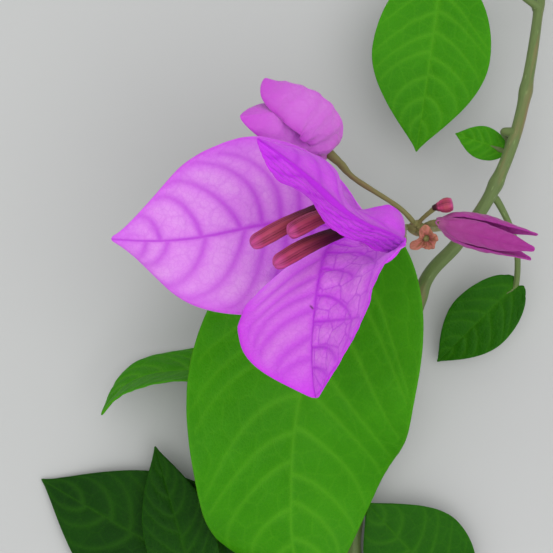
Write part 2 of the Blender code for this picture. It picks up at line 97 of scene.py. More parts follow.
def rings_along(knots, stations, radius, sides, upright=(0.0, 0.0, 1.0)):
    """Rings of points round a curve: (rings, the angle round them, the length along them).

    The ring at a station lies across the curve's direction there. Its points are the centre
    plus the radius times the cosine of the angle sideways and its sine upwards, where
    sideways is square to the direction and to upright. A radius may change round the ring.
    """
    step, samples = 1e-3, 201
    centre = curve_at(knots, stations)
    ahead = unit(curve_at(knots, stations + step) - curve_at(knots, stations - step))
    side = unit(np.cross(ahead, np.array(upright)))
    above = np.cross(side, ahead)
    angle = np.linspace(0.0, 2.0 * np.pi, sides, endpoint=False)[None, :]
    radius = np.broadcast_to(radius, (len(stations), sides))
    rings = (centre[:, None] + (radius * np.cos(angle))[..., None] * side[:, None]
             + (radius * np.sin(angle))[..., None] * above[:, None])
    even = np.linspace(0.0, 1.0, samples)
    lengths = np.linalg.norm(np.diff(curve_at(knots, even), axis=0), axis=1)
    run = np.concatenate([[0.0], np.cumsum(lengths)])
    return rings, angle, np.interp(stations, even, run)


def new_piece(name, points, faces, values, finish, slot, *nodes):
    """A smooth piece at the origin, from points in millimetres and lists of faces.

    values are its point attributes by name. It has the given finish, rides on the one body
    and stands for the given solids. The slot is not used.
    """
    mesh = bpy.data.meshes.new(name)
    mesh.from_pydata(((points - ORIGIN) * MM).tolist(), [], faces)
    mesh.shade_smooth()
    for key, value in values.items():
        kind = "FLOAT_VECTOR" if value.ndim == 2 else "FLOAT"
        field = "vector" if value.ndim == 2 else "value"
        stored = mesh.attributes.new(key, kind, "POINT")
        stored.data.foreach_set(field, value.astype(np.float32).ravel())
    mesh.materials.append(finish)
    mesh.update()
    piece = bpy.data.objects.new(name, mesh)
    bpy.context.scene.collection.objects.link(piece)
    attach(piece, "root")
    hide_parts(*nodes)


def new_tube(name, rings, values, finish, slot, *nodes):
    """A closed piece from rings of points, each end drawn together at the ring's middle."""
    count, sides = rings.shape[:2]
    grid = np.arange(count * sides).reshape(count, sides)
    after = np.roll(grid, -1, axis=1)
    quads = np.stack([grid[:-1], grid[1:], after[1:], after[:-1]], axis=-1).reshape(-1, 4)
    first, last = count * sides, count * sides + 1
    faces = quads.tolist()
    faces += [(first, int(a), int(b)) for a, b in zip(grid[0], after[0])]
    faces += [(last, int(b), int(a)) for a, b in zip(grid[-1], after[-1])]
    points = np.vstack([rings.reshape(-1, 3), rings[0].mean(axis=0), rings[-1].mean(axis=0)])
    full = {}
    for key, value in values.items():
        flat = value.reshape(count * sides, *value.shape[2:])
        ends = [value[0].mean(axis=0), value[-1].mean(axis=0)]
        full[key] = np.concatenate([flat, np.array(ends)])
    new_piece(name, points, faces, full, finish, slot, *nodes)


def add_node(tree, kind, inputs=None, **settings):
    """A shader node with its settings, and its inputs linked to a socket or set to a value."""
    made = tree.nodes.new("ShaderNode" + kind)
    for key, value in settings.items():
        setattr(made, key, value)
    for key, value in (inputs or {}).items():
        if isinstance(value, bpy.types.NodeSocket):
            tree.links.new(value, made.inputs[key])
        else:
            made.inputs[key].default_value = value
    return made


def attribute(tree, name, output="Fac"):
    """The socket of one of the piece's own point attributes."""
    return add_node(tree, "Attribute", attribute_name=name).outputs[output]


def mix(tree, factor, first, second):
    """A colour mixed from two colours or sockets by the factor's socket."""
    colours = [colour if isinstance(colour, bpy.types.NodeSocket) else (*colour, 1.0)
               for colour in (first, second)]
    made = add_node(tree, "Mix", {0: factor, 6: colours[0], 7: colours[1]}, data_type="RGBA")
    return made.outputs[2]


def maths(tree, operation, *values):
    """The result of one sum on numbers or sockets."""
    return add_node(tree, "Math", dict(enumerate(values)), operation=operation).outputs[0]


def noise(tree, vector, scale, detail, roughness=0.55):
    """A soft noise between 0 and 1 on the given coordinates."""
    made = add_node(tree, "TexNoise", {"Vector": vector, "Scale": scale, "Detail": detail,
                                       "Roughness": roughness})
    return made.outputs["Fac"]


def spread(tree, value, low, high):
    """The value stretched so that low becomes 0 and high becomes 1, and held there."""
    made = add_node(tree, "MapRange", {"Value": value, "From Min": low, "From Max": high})
    return made.outputs["Result"]


def new_finish(name, roughness, specular):
    """A material of one Principled shader: (material, its node tree, the shader)."""
    made = bpy.data.materials.new(name)
    made.use_nodes = True
    tree = made.node_tree
    shader = tree.nodes["Principled BSDF"]
    shader.inputs["Roughness"].default_value = roughness
    shader.inputs["Specular IOR Level"].default_value = specular
    return made, tree, shader


def raise_surface(tree, shader, height, distance):
    """Give the shader a bump of the given depth, in millimetres, from a height of 0 to 1."""
    made = add_node(tree, "Bump", {"Height": height, "Distance": distance * MM})
    tree.links.new(made.outputs["Normal"], shader.inputs["Normal"])


def let_light_in(shader, weight, radius):
    """Soft light under the skin: its weight, and how far red, green and blue go, in mm."""
    shader.inputs["Subsurface Weight"].default_value = weight
    shader.inputs["Subsurface Radius"].default_value = radius
    shader.inputs["Subsurface Scale"].default_value = MM


def stalk_finish(name, green, warm, warmth):
    """Green shoot skin: fine streaks along it, pale dots, and a warmer tint in patches."""
    made, tree, shader = new_finish(name, 0.55, 0.35)
    strand = attribute(tree, "strand", "Vector")
    streaks = noise(tree, strand, 2.2, 4.0)
    patches = spread(tree, noise(tree, strand, 0.35, 2.0), 0.62 - warmth, 0.75)
    dots = add_node(tree, "TexVoronoi", {"Vector": strand, "Scale": 1.3}).outputs["Distance"]
    dots = spread(tree, dots, 0.16, 0.06)
    dark = tuple(0.62 * c for c in green)
    pale = tuple(min(1.0, 1.7 * c + 0.05) for c in green)
    skin = mix(tree, streaks, dark, green)
    skin = mix(tree, patches, skin, warm)
    skin = mix(tree, maths(tree, "MULTIPLY", dots, 0.45), skin, pale)
    tree.links.new(skin, shader.inputs["Base Color"])
    raise_surface(tree, shader, streaks, 0.10)
    shader.inputs["Sheen Weight"].default_value = 0.15
    shader.inputs["Sheen Roughness"].default_value = 0.4
    return made


def strand_of(angle, run, radius):
    """Coordinates that follow a stalk's skin: round it, and slowly along it."""
    around, length = np.broadcast_arrays(angle, run[:, None])
    return np.stack([radius * np.cos(around), radius * np.sin(around), 0.22 * length], axis=-1)


STEM_FINISH = stalk_finish("green_shoot", (0.115, 0.175, 0.045), (0.17, 0.13, 0.05), 0.08)

stations = np.concatenate([np.zeros(len(STEM_CUT)), np.linspace(0.0, 1.0, STEM_RINGS),
                           np.ones(len(STEM_END))])
closing = np.concatenate([STEM_CUT, np.ones(STEM_RINGS), STEM_END])
joints = sum(np.exp(-((stations - at) / JOINT_LENGTH) ** 2) for at in STEM_JOINTS)
thick = along(stations, STEM_RADII) * (1.0 + JOINT_SWELL * joints) * closing
round_stem = np.linspace(0.0, 2.0 * np.pi, STEM_SIDES, endpoint=False)[None, :]
furrows = FURROW_DEPTH * np.cos(STEM_FURROWS * round_stem + FURROW_TWIST * stations[:, None])
stem_rings, angle, run = rings_along(STEM, stations, thick[:, None] * (1.0 + furrows),
                                     STEM_SIDES)
new_tube("green_stem", stem_rings, {"strand": strand_of(angle, run, 1.3)}, STEM_FINISH,
         "green_stalk", "stem")


# ------------------------------------------------------------------------------ the leaves
# Soft green blades, thin at the margin, each folded a little along a pale midrib and held
# by a short round stalk. Side veins leave the midrib and bend towards the tip; the blade
# is faintly quilted between them. The lower leaves and the right one are darker: painted
# shade, given by darker copies of the green, less deep on the right and lower right ones.

LEAF_THICKNESS = 0.62
LEAF_STALK_RADII = (0.80, 0.55, 0.55)
LEAF_STALK_RINGS, LEAF_STALK_SIDES = 90, 20
LEAF_STALK_SWELL = 0.45         # how much thicker the stalk is at its foot
FULL_LEAF = 50.0                # from this length on, veins and quilt have their full size
LEAF_QUILT, LEAF_FINE_QUILT = 0.32, 0.06
LEAF_WAVE = 0.35
VEIN_GROOVE = 0.10
PLAIN_BLADE = {
    "turn": 180.0, "stand_off": 0.0, "spread": (0.0, 0.0), "sweep": (0.0, 0.0),
    "roll": (0.0, 0.0), "fold_left": (8.0, 8.0), "fold_right": (8.0, 8.0),
    "curl_left": (0.0, 0.0), "curl_right": (0.0, 0.0), "widest_at": 0.42,
    "base_share": 0.45, "taper": 1.2, "lobe": 1.0, "left_share": (1.0, 1.0),
    "right_share": (1.0, 1.0), "lag_left": 0.0, "lag_right": 0.0, "nib": 0.0,
}

LEAVES = {
    "large": dict(
        base=(11.9, 9.5, 20.0), heading=262.0, climb=-5.5, length=73.0, half_width=20.0,
        widest_at=0.40, base_share=0.48, taper=0.85, lobe=3.0, right_share=(1.02, 1.02),
        spread=(8.0, -4.0, 5.0, 26.0), sweep=(-2.0, -9.0, 7.0, 28.0),
        roll=(2.0, 9.0, -18.0, 15.0),
        fold_left=(12.0, 7.0, -11.0), fold_right=(5.0, 11.0, -21.0),
        curl_left=(4.0, -1.0, -11.0), curl_right=(-1.0, 4.0, -20.0)),
    "upper": dict(
        base=(29.2, 52.3, 12.0), heading=262.0, climb=2.0, length=30.5, half_width=10.6,
        base_share=0.5, taper=1.25, spread=(0.0, 6.0, 14.0)),
    "young": dict(
        base=(40.2, 22.4, 12.6), heading=160.0, climb=0.0, length=9.0, half_width=3.0,
        lobe=0.5, spread=(0.0, 10.0)),
    "right": dict(
        base=(42.8, -1.5, 8.0), heading=226.0, climb=-8.0, length=20.5, half_width=5.8,
        spread=(0.0, 8.0, 20.0)),
    "left": dict(
        base=(-2.6, -17.1, 9.2), heading=175.0, climb=0.0, length=32.0, half_width=8.0,
        sweep=(0.0, 10.0, 62.0), spread=(0.0, 3.0, 12.0), roll=(66.0, 70.0, 60.0)),
    "lower_left": dict(
        base=(-3.2, -60.0, 2.9), heading=150.0, climb=-1.8, length=46.0, half_width=14.0,
        lobe=1.4, spread=(0.0, 0.0, 4.0), fold_left=(3.0, 2.0), fold_right=(3.0, 2.0)),
    "lower_middle": dict(
        base=(-14.0, -58.5, 6.2), heading=106.0, climb=-2.0, length=29.0, half_width=6.5,
        spread=(0.0, 0.0, 4.0)),
    "lower_right": dict(
        base=(32.4, -58.8, 2.6), heading=132.0, climb=8.0, length=24.5, half_width=10.0,
        lobe=1.4, spread=(0.0, 0.0, 4.0), fold_left=(3.0, 2.0), fold_right=(3.0, 2.0)),
    "tip": dict(
        base=(48.2, 60.9, 4.6), heading=118.0, climb=-2.0, length=16.0, half_width=5.4,
        spread=(0.0, 8.0, 30.0)),
}
# Leaves that get a darker copy of the green as painted shade; the half shaded ones less deep.
SHADED_LEAVES = ("right", "lower_left", "lower_middle", "lower_right")
HALF_SHADED_LEAVES = ("right", "lower_right")

# Leaf stalks: from inside the stem, the points on the way to the foot of each blade.
LEAF_STALKS = {
    "large": ((23.6, -12.4, 9.6), (22.0, -11.5, 11.3), (17.5, 0.5, 17.5)),
    "upper": ((46.8, 48.0, 9.5), (45.0, 49.2, 10.6), (38.0, 53.2, 13.0)),
    "young": ((42.0, 25.2, 15.9), (40.1, 25.5, 15.2), (41.0, 24.0, 13.6)),
    "right": ((37.1, 13.7, 16.9), (38.9, 13.2, 16.0), (42.4, 6.0, 12.8)),
    "left": ((17.4, -31.0, 4.3), (15.7, -29.6, 4.4), (7.0, -22.5, 8.0)),
    "lower_left": ((13.5, -67.2, 1.9), (11.4, -66.4, 2.4), (5.0, -63.2, 3.2)),
    "lower_middle": ((13.6, -63.4, 2.3), (11.8, -62.9, 3.2), (0.0, -59.4, 6.4)),
    "lower_right": ((13.6, -66.4, 1.9), (15.5, -66.0, 2.3), (25.0, -65.0, 2.6)),
    "tip": ((48.4, 58.3, 5.2), (48.3, 59.7, 4.7)),
}


def axis_of(heading, climb):
    """The direction with this plan angle and this climb above level."""
    heading, climb = math.radians(heading), math.radians(climb)
    return np.array([math.cos(climb) * math.cos(heading), math.cos(climb) * math.sin(heading),
                     math.sin(climb)])


def half_width(blade, t):
    """Half the blade's width at t: a round shoulder, then a taper to the tip.

    The nib rounds the tip: it is the least half width in mm, kept up to about its own
    length from the tip and closed there by a quarter circle.
    """
    below = np.clip((blade["widest_at"] - t) / blade["widest_at"], 0.0, 1.0)
    above = np.clip((t - blade["widest_at"]) / (1.0 - blade["widest_at"]), 0.0, 1.0)
    shoulder = blade["base_share"] + (1.0 - blade["base_share"]) * (1.0 - below**2) ** 0.75
    point = (1.0 - above) ** blade["taper"] * (1.0 + blade["taper"] * above)
    width = blade["half_width"] * np.where(t < blade["widest_at"], shoulder, point)
    end = 1.3 * blade["nib"] / blade["length"] + 1e-6
    closing = np.clip(1.0 - (1.0 - t) / end, 0.0, 1.0)
    return np.hypot(width, blade["nib"] * np.sqrt(1.0 - closing**2))


def midrib(blade, count=241):
    """Points, directions, sideways and upward vectors at even steps along the midrib.

    The direction is the axis turned outwards by the spread and sideways by the sweep; the
    points are its running sum. The other two are turned about it by the roll.
    """
    t = np.linspace(0.0, 1.0, count)
    axis = axis_of(blade["heading"], blade["climb"])
    top = unit(np.array([0.0, 0.0, 1.0]) - axis[2] * axis)
    left = np.cross(axis, top)
    turn = math.radians(blade["turn"])
    outward = math.cos(turn) * top + math.sin(turn) * left
    across = np.cross(axis, outward)
    lean = np.radians(along(t, blade["spread"]))[:, None]
    sweep = np.radians(along(t, blade["sweep"]))[:, None]
    roll = np.radians(along(t, blade["roll"]))[:, None]
    ahead = np.cos(lean) * axis + np.sin(lean) * outward
    ahead = np.cos(sweep) * ahead + np.sin(sweep) * across
    upward = np.sin(lean) * axis - np.cos(lean) * outward
    upward = unit(upward - np.sum(upward * ahead, axis=1, keepdims=True) * ahead)
    sideways = np.cross(upward, ahead)
    steps = (ahead[1:] + ahead[:-1]) / 2.0 * blade["length"] / (count - 1)
    foot = np.array(blade["base"]) + blade["stand_off"] * outward
    points = np.vstack([np.zeros(3), np.cumsum(steps, axis=0)]) + foot
    return (t, points, ahead, np.cos(roll) * sideways + np.sin(roll) * upward,
            np.cos(roll) * upward - np.sin(roll) * sideways)


def blade_points(blade, t, v):
    """Points of the blade at t along it and v across it, from -1 to 1.

    A half of the blade is a circular arc in the plane across the midrib: it leaves the
    midrib at the fold angle and turns by the curl angle on its way to the margin, so its
    chord is the arc's length times the sine of half the turn over half the turn. The shares
    widen or narrow each half; near the foot the lobe and the lags move the base back.
    """
    at, points, ahead, sideways, upward = midrib(blade)

    def read(values):
        """The midrib's vectors, read off at t."""
        return np.stack([np.interp(t, at, values[:, k]) for k in range(3)], axis=-1)

    def sided(left, right):
        """The values of each point's own half, eased along t."""
        return np.where(v > 0, along(t, blade[left]), along(t, blade[right]))

    reach = np.abs(v) * half_width(blade, t) * sided("left_share", "right_share")
    half_turn = np.radians(sided("curl_left", "curl_right")) * np.abs(v) / 2.0
    angle = np.radians(sided("fold_left", "fold_right")) + half_turn
    chord = reach * np.sinc(half_turn / np.pi)
    out = chord * np.cos(angle) * np.where(v > 0, 1.0, -1.0)
    lift = chord * np.sin(angle)
    back = blade["lobe"] * np.sin(np.pi * np.abs(v)) ** 2
    back = back + np.where(v > 0, blade["lag_left"], blade["lag_right"]) * v**2
    back = back * np.clip(1.0 - t / blade["widest_at"], 0.0, 1.0) ** 1.5
    return (read(points) - read(ahead) * back[..., None] + read(sideways) * out[..., None]
            + read(upward) * lift[..., None])


def veins_of(blade, t, v, side_veins, widths):
    """(how much of a main vein is at each point, how far the nearest one is in mm).

    The midrib is the line v = 0. A side vein is (start, rise, bend, reach, side): it is the
    line t = start + rise * |v| ** bend out to |v| = reach. Its distance is the difference
    in t, in mm, times the cosine of the line's slope; past its reach, and on the other half,
    the distance grows. The midrib is 1.5 times the first width at its foot, less 1.25 of
    it times the square root of t. A side vein narrows from 0.8 of the first width to the
    second on its way out.
    """
    least_width, other_half = 0.5, 40.0
    width_here = half_width(blade, t)
    out = np.abs(v)
    near = out * width_here
    size = widths[0] * (1.5 - 1.25 * np.sqrt(t))
    line = np.exp(-((near / size) ** 2))
    for start, rise, bend, reach, side in side_veins:
        slope = rise * bend * np.maximum(out, 1e-3) ** (bend - 1.0)
        tilt = slope * blade["length"] / np.maximum(width_here, least_width)
        gap = np.abs(t - start - rise * out**bend) * blade["length"] / np.sqrt(1.0 + tilt**2)
        beyond = np.clip(out - reach, 0.0, 1.0) * width_here + other_half * (v * side < 0)
        gap = np.hypot(gap, beyond)
        size = widths[0] * 0.8 + (widths[1] - widths[0] * 0.8) * out
        line = np.maximum(line, (0.95 - 0.45 * out) * np.exp(-((gap / size) ** 2)))
        near = np.minimum(near, gap)
    return line, near


def net_of(blade, t, v, cell, seed, stretch=1.0):
    """How far each point is, in mm, from the nearest line of a net of uneven cells.

    The cells are those of seeds scattered over the flat blade, about one cell apart: a
    line lies where the two nearest seeds are equally far, and its distance is the
    difference of the squared distances over twice the seeds' distance apart. A stretch
    above 1 makes the cells that much narrower across the blade.
    """
    scatter = 0.38              # of a cell's size, either way
    flat = np.stack([t * blade["length"], v * half_width(blade, t) * stretch], axis=-1)
    long, wide = blade["length"], blade["half_width"] * stretch
    grid = np.stack(np.meshgrid(np.arange(-cell, long + cell, cell),
                                np.arange(-wide - cell, wide + 2 * cell, cell),
                                indexing="ij"), axis=-1)
    grid[1::2, :, 1] += cell / 2.0      # every other row of seeds lies half a cell along
    seeds = grid.reshape(-1, 2)
    seeds = seeds + np.random.default_rng(seed).uniform(-scatter, scatter, seeds.shape) * cell
    gap = np.empty(t.shape)
    for row in range(len(t)):           # a row at a time, to spare memory
        square = ((flat[row][:, None] - seeds) ** 2).sum(axis=-1)
        two = np.argpartition(square, 1, axis=1)[:, :2]
        first, second = np.take_along_axis(square, two, axis=1).T
        apart = np.linalg.norm(seeds[two[:, 0]] - seeds[two[:, 1]], axis=1)
        gap[row] = np.abs(second - first) / (2.0 * apart)
    return gap


def normals_of(surface):
    """The surface's own normal at each point of its grid."""
    normal = np.cross(np.gradient(surface, axis=0), np.gradient(surface, axis=1))
    return normal / np.maximum(np.linalg.norm(normal, axis=-1, keepdims=True), 1e-9)


def new_sheet(name, surface, thickness, values, finish, slot, *nodes):
    """A closed thin blade from a grid of points: two skins that meet along the whole border.

    Each skin is the surface moved along its normal by half the thickness times the square
    root of 1 - |v| ** 12, and of 1 - |2 t - 1| ** 40, so the margin is a fine rounded edge.
    The last row is one point.
    """
    rows, columns = surface.shape[:2]
    normal = normals_of(surface)
    normal[-1] = normal[-2]
    v = np.linspace(-1.0, 1.0, columns)[None, :, None]
    t = np.linspace(0.0, 1.0, rows)[:, None, None]
    half = thickness / 2.0 * np.sqrt(np.clip(1.0 - np.abs(v) ** 12, 0.0, 1.0))
    half = half * np.sqrt(np.clip(1.0 - np.abs(2.0 * t - 1.0) ** 40, 0.0, 1.0))
    upper, lower = surface + normal * half, surface - normal * half
    grid = np.arange(rows * columns).reshape(rows, columns)
    grid[-1] = grid[-1, 0]
    under = grid + rows * columns
    under[0], under[-1], under[:, 0], under[:, -1] = grid[0], grid[-1], grid[:, 0], grid[:, -1]
    points = np.concatenate([upper.reshape(-1, 3), lower.reshape(-1, 3)])
    used = np.unique(np.concatenate([grid.ravel(), under.ravel()]))
    fresh = np.zeros(len(points), dtype=int)
    fresh[used] = np.arange(len(used))
    faces = []
    for skin in (fresh[grid], fresh[under[:, ::-1]]):
        corners = np.stack([skin[:-1, :-1], skin[1:, :-1], skin[1:, 1:], skin[:-1, 1:]], -1)
        faces += corners[:-1].reshape(-1, 4).tolist()
        faces += corners[-1][:, [0, 1, 3]].tolist()
    full = {key: np.concatenate([value.reshape(rows * columns, -1)] * 2)[used].squeeze()
            for key, value in values.items()}
    full["under"] = (used >= rows * columns).astype(float)
    new_piece(name, points[used], faces, full, finish, slot, *nodes)


def blade_grid(rows, columns):
    """t and v on a grid, t closer together towards both ends of the blade."""
    s = np.linspace(0.0, 1.0, rows)
    t = s - 0.10 * np.sin(2.0 * np.pi * s) / (2.0 * np.pi)
    return np.broadcast_arrays(t[:, None], np.linspace(-1.0, 1.0, columns)[None, :])


def rise_along_normal(surface, height):
    """The surface moved along its own normal by a height in mm, but for its last row."""
    normal = normals_of(surface)
    normal[-1] = 0.0
    return surface + normal * height[..., None]


def leaf_finish(name, green, deep, pale, roughness):
    """Leaf skin: deep green over the cells, paler veins and margin, a lighter underside."""
    made, tree, shader = new_finish(name, roughness, 0.06)
    where = add_node(tree, "TexCoord").outputs["Object"]
    flat = attribute(tree, "flat", "Vector")
    cloud = noise(tree, where, 90.0, 3.0)
    body = mix(tree, spread(tree, cloud, 0.3, 0.7), deep, green)
    cells = add_node(tree, "TexVoronoi", {"Vector": flat, "Scale": 1.5, "Randomness": 0.9},
                     feature="DISTANCE_TO_EDGE").outputs["Distance"]
    fine = spread(tree, cells, 0.10, 0.0)
    body = mix(tree, maths(tree, "MULTIPLY", fine, 0.12), body, pale)
    for key, share in (("net", 0.18), ("vein", 0.55), ("rim", 0.35)):
        body = mix(tree, maths(tree, "MULTIPLY", attribute(tree, key), share), body, pale)
    soft = tuple(0.5 * g + 0.5 * p for g, p in zip(green, pale))
    body = mix(tree, maths(tree, "MULTIPLY", attribute(tree, "under"), 0.6), body, soft)
    tree.links.new(body, shader.inputs["Base Color"])
    grain = noise(tree, flat, 5.0, 4.0)
    height = maths(tree, "ADD", maths(tree, "MULTIPLY", grain, 0.5),
                   maths(tree, "MULTIPLY", spread(tree, cells, 0.0, 0.25), 0.5))
    raise_surface(tree, shader, height, 0.06)
    gloss = maths(tree, "ADD", roughness - 0.08, maths(tree, "MULTIPLY", cloud, 0.16))
    tree.links.new(gloss, shader.inputs["Roughness"])
    let_light_in(shader, 0.12, (0.4, 0.9, 0.2))
    return made


def leaf_veins(pairs):
    """Side veins for both halves of a leaf: nearly paired, a little uneven along the rib."""
    starts = np.linspace(0.05, 0.80, pairs)
    found = []
    for number, start in enumerate(starts):
        for side in (1, -1):
            shift = 0.016 * side * math.cos(2.1 * number)
            rise = 0.30 - 0.14 * start + 0.02 * math.sin(3.7 * number + side)
            found.append((start + shift, rise, 1.45, 0.93, side))
    return found


# The leaf's green, and two darker copies of it that paint shade on the shaded leaves.
LEAF_FINISHES = {
    "leaf": leaf_finish("leaf_green", (0.036, 0.210, 0.002), (0.026, 0.172, 0.001),
                        (0.075, 0.290, 0.008), 0.42),
    "half_shaded_leaf": leaf_finish("half_shaded_leaf_green", (0.013, 0.092, 0.001),
                                    (0.008, 0.066, 0.0005), (0.030, 0.140, 0.003), 0.46),
    "shaded_leaf": leaf_finish("shaded_leaf_green", (0.006, 0.048, 0.0005), (0.003, 0.030, 0.0005),
                               (0.017, 0.085, 0.002), 0.50),
}


def flat_of(blade, t, v, number):
    """Where each point lies on the flat blade, in mm, on a level of the blade's own."""
    return np.stack([t * blade["length"], v * half_width(blade, t), 0.0 * t + number], axis=-1)


def new_leaf(name, leaf, number, finish, slot, node):
    """A leaf: its blade formula, quilted between the veins and waved towards the margin.

    The scale, at most 1, draws the veins, the net and the quilt smaller on a small leaf. The
    height along the normal is the quilt, which rises with the distance from the nearest
    vein, less a groove along each vein, plus a wave that grows with the cube of v, plus a
    fine quilt over the cells of the net. It dies away at the tip.
    """
    scale = min(1.0, leaf["length"] / FULL_LEAF)
    t, v = blade_grid(int(90 + 130 * scale), 2 * int(40 + 45 * scale) + 1)
    vein, near = veins_of(leaf, t, v, leaf_veins(5 + int(4 * scale)),
                          (0.35 + 0.55 * scale, 0.16 + 0.12 * scale))
    gap = net_of(leaf, t, v, 1.6 + 2.4 * scale, 11 + number)
    net = np.exp(-((gap / (0.10 + 0.08 * scale)) ** 2)) * (1.0 - vein)
    rim = np.clip((np.abs(v) - 0.95) / 0.05, 0.0, 1.0) ** 2
    quilt = 1.0 - np.exp(-((near / (1.0 + 2.0 * scale)) ** 2))
    fine_quilt = 1.0 - np.exp(-((gap / 0.7) ** 2))
    waves = LEAF_WAVE * np.sin(13.0 * t + 2.0 * np.sign(v)) * np.abs(v) ** 3 * scale
    height = LEAF_QUILT * scale * quilt - VEIN_GROOVE * vein + waves
    height = (height + LEAF_FINE_QUILT * fine_quilt) * np.sqrt(1.0 - t**8)
    surface = rise_along_normal(blade_points(leaf, t, v), height)
    new_sheet(name, surface, LEAF_THICKNESS * (0.6 + 0.4 * scale),
              {"vein": vein, "net": net, "rim": rim, "flat": flat_of(leaf, t, v, number)},
              finish, slot, node)


def new_leaf_stalk(name, knots, leaf, node):
    """A round leaf stalk, swollen at its foot, that narrows to nothing under the midrib."""
    _, points, ahead, _, _ = midrib(leaf)
    knots = (*knots, tuple(points[0] - 0.3 * ahead[0]), tuple(points[0] + 2.5 * ahead[0]))
    stations = np.linspace(0.0, 1.0, LEAF_STALK_RINGS)
    radius = along(stations, LEAF_STALK_RADII) * np.minimum(1.0, (1.02 - stations) / 0.16)
    radius = radius * (1.0 + LEAF_STALK_SWELL * np.exp(-((stations / 0.10) ** 2)))
    rings, angle, run = rings_along(knots, stations, radius[:, None], LEAF_STALK_SIDES)
    new_tube(name, rings, {"strand": strand_of(angle, run, 0.8)}, STEM_FINISH, "green_stalk",
             node)


for number, (name, leaf) in enumerate(LEAVES.items()):
    leaf = {**PLAIN_BLADE, **leaf}
    slot = "shaded_leaf" if name in SHADED_LEAVES else "leaf"
    skin = LEAF_FINISHES["half_" + slot if name in HALF_SHADED_LEAVES else slot]
    new_leaf(name + "_leaf", leaf, number, skin, slot, "leaf_" + name)
    new_leaf_stalk(name + "_leaf_stalk", LEAF_STALKS[name], leaf, "leaf_" + name)


# ----------------------------------------------------------------------- the flower stalks
# One wiry stalk rises out of the stem and ends in a small knob, from which every flower of
# the group hangs on a thinner stalk of its own. They are olive, and slightly hairy.

KNOB_AT = np.array([23.0, 8.0, 41.0])
SHARED_STALK = ((33.6, 9.2, 15.6), (34.9, 10.5, 18.6), (32.0, 9.5, 24.0), (27.0, 8.2, 34.0),
                tuple(KNOB_AT))
SHARED_STALK_RADII = (0.95, 0.68, 0.62, 0.65, 0.85)
KNOB_SIZE = 1.25
KNOB_RINGS, KNOB_SIDES = 40, 36
STALK_UPRIGHT = (0.0, 1.0, 0.2)         # no stalk runs this way, so no ring twists
STALK_SIDES = 18
OPEN_BLOOM_AT = np.array([14.0, 6.8, 43.0])
UPPER_BRACT_AT = np.array([19.9, 5.0, 50.9])
YOUNG_BLOOM_AT = np.array([8.8, 20.9, 37.0])
SIDE_BLOOM_AT = np.array([26.6, 8.9, 43.5])
SMALL_BUD_AT = np.array([25.5, 11.2, 44.2])
WITHERED_FLOWER_AT = np.array([24.6, 5.8, 46.3])
OLD_FLOWER_AXIS = axis_of(290.0, 60.0)

STALK_FINISH = stalk_finish("flower_stalk_skin", (0.20, 0.19, 0.055), (0.26, 0.13, 0.07), 0.14)


def new_stalk(name, knots, radii, node, slot, count=80):
    """A round stalk through the knots.

    Its radii are eased between even stations, and waved by a few per cent.
    """
    stations = np.linspace(0.0, 1.0, count)
    wobble = 1.0 + 0.03 * np.sin(37.0 * stations) + 0.02 * np.sin(83.0 * stations)
    radius = along(stations, radii) * wobble
    rings, angle, run = rings_along(knots, stations, radius[:, None], STALK_SIDES,
                                    STALK_UPRIGHT)
    new_tube(name, rings, {"strand": strand_of(angle, run, 0.7)}, STALK_FINISH, slot, node)


def new_knob(name, centre, size, node, slot):
    """A knob: a ball whose radius is waved round it by a tenth and along it by less."""
    up = np.linspace(-1.0, 1.0, KNOB_RINGS)[:, None] * np.pi / 2.0 * 0.98
    angle = np.linspace(0.0, 2.0 * np.pi, KNOB_SIDES, endpoint=False)[None, :]
    radius = size * (1.0 + 0.10 * np.sin(3.0 * angle + 2.0 * up) + 0.06 * np.cos(5.0 * up))
    rings = centre + np.stack([radius * np.cos(up) * np.sin(angle),
                               radius * np.cos(up) * np.cos(angle),
                               radius * np.sin(up) + 0.0 * angle], axis=-1)
    new_tube(name, rings, {"strand": rings - centre}, STALK_FINISH, slot, node)


new_stalk("shared_flower_stalk", SHARED_STALK, SHARED_STALK_RADII, "flower_stalk_shared",
          "green_stalk", count=160)
new_knob("stalk_knob", KNOB_AT, KNOB_SIZE, "flower_stalk_shared", "green_stalk")

new_stalk("open_bloom_stalk",
          (KNOB_AT, KNOB_AT + (-1.8, 0.1, 0.4), (20.6, 7.0, 46.4), (20.0, 5.5, 50.9),
           (16.6, 6.2, 48.0), (13.4, 6.6, 43.4)),
          (0.6, 0.48, 0.52, 0.65, 0.8, 1.1), "open_bloom", "bract")
new_stalk("young_bloom_stalk",
          (KNOB_AT, KNOB_AT + (-0.9, 1.5, 0.6), (19.6, 11.8, 41.4), (13.0, 16.2, 39.2),
           (10.6, 18.8, 37.6), YOUNG_BLOOM_AT + (-0.8, 0.3, 0.0)),
          (0.55, 0.44, 0.42, 0.48, 0.7, 0.9), "young_bloom", "young_bract")
new_stalk("side_bloom_stalk",
          (KNOB_AT, KNOB_AT + (1.5, 0.4, 0.7), (25.6, 8.7, 42.8), (27.2, 8.7, 43.6)),
          (0.55, 0.45, 0.60, 0.8), "side_bloom", "young_bract")
new_stalk("small_bud_stalk",
          (KNOB_AT, KNOB_AT + (0.9, 1.4, 0.8), SMALL_BUD_AT + (0.5, 0.1, 0.0)),
          (0.50, 0.36, 0.42), "small_bud", "flower_tube")
new_stalk("old_flower_stalk",
          (KNOB_AT, KNOB_AT + (0.4, -0.9, 1.3), WITHERED_FLOWER_AT - 0.9 * OLD_FLOWER_AXIS),
          (0.50, 0.40, 0.55), "withered_flower", "withered")


# -------------------------------------------------------------------------- the open bloom
# Three papery bracts grow from one point and stand open. Each is thin as paper, lilac
# between its veins and violet at its margin; the veins and the foot are deeper purple.

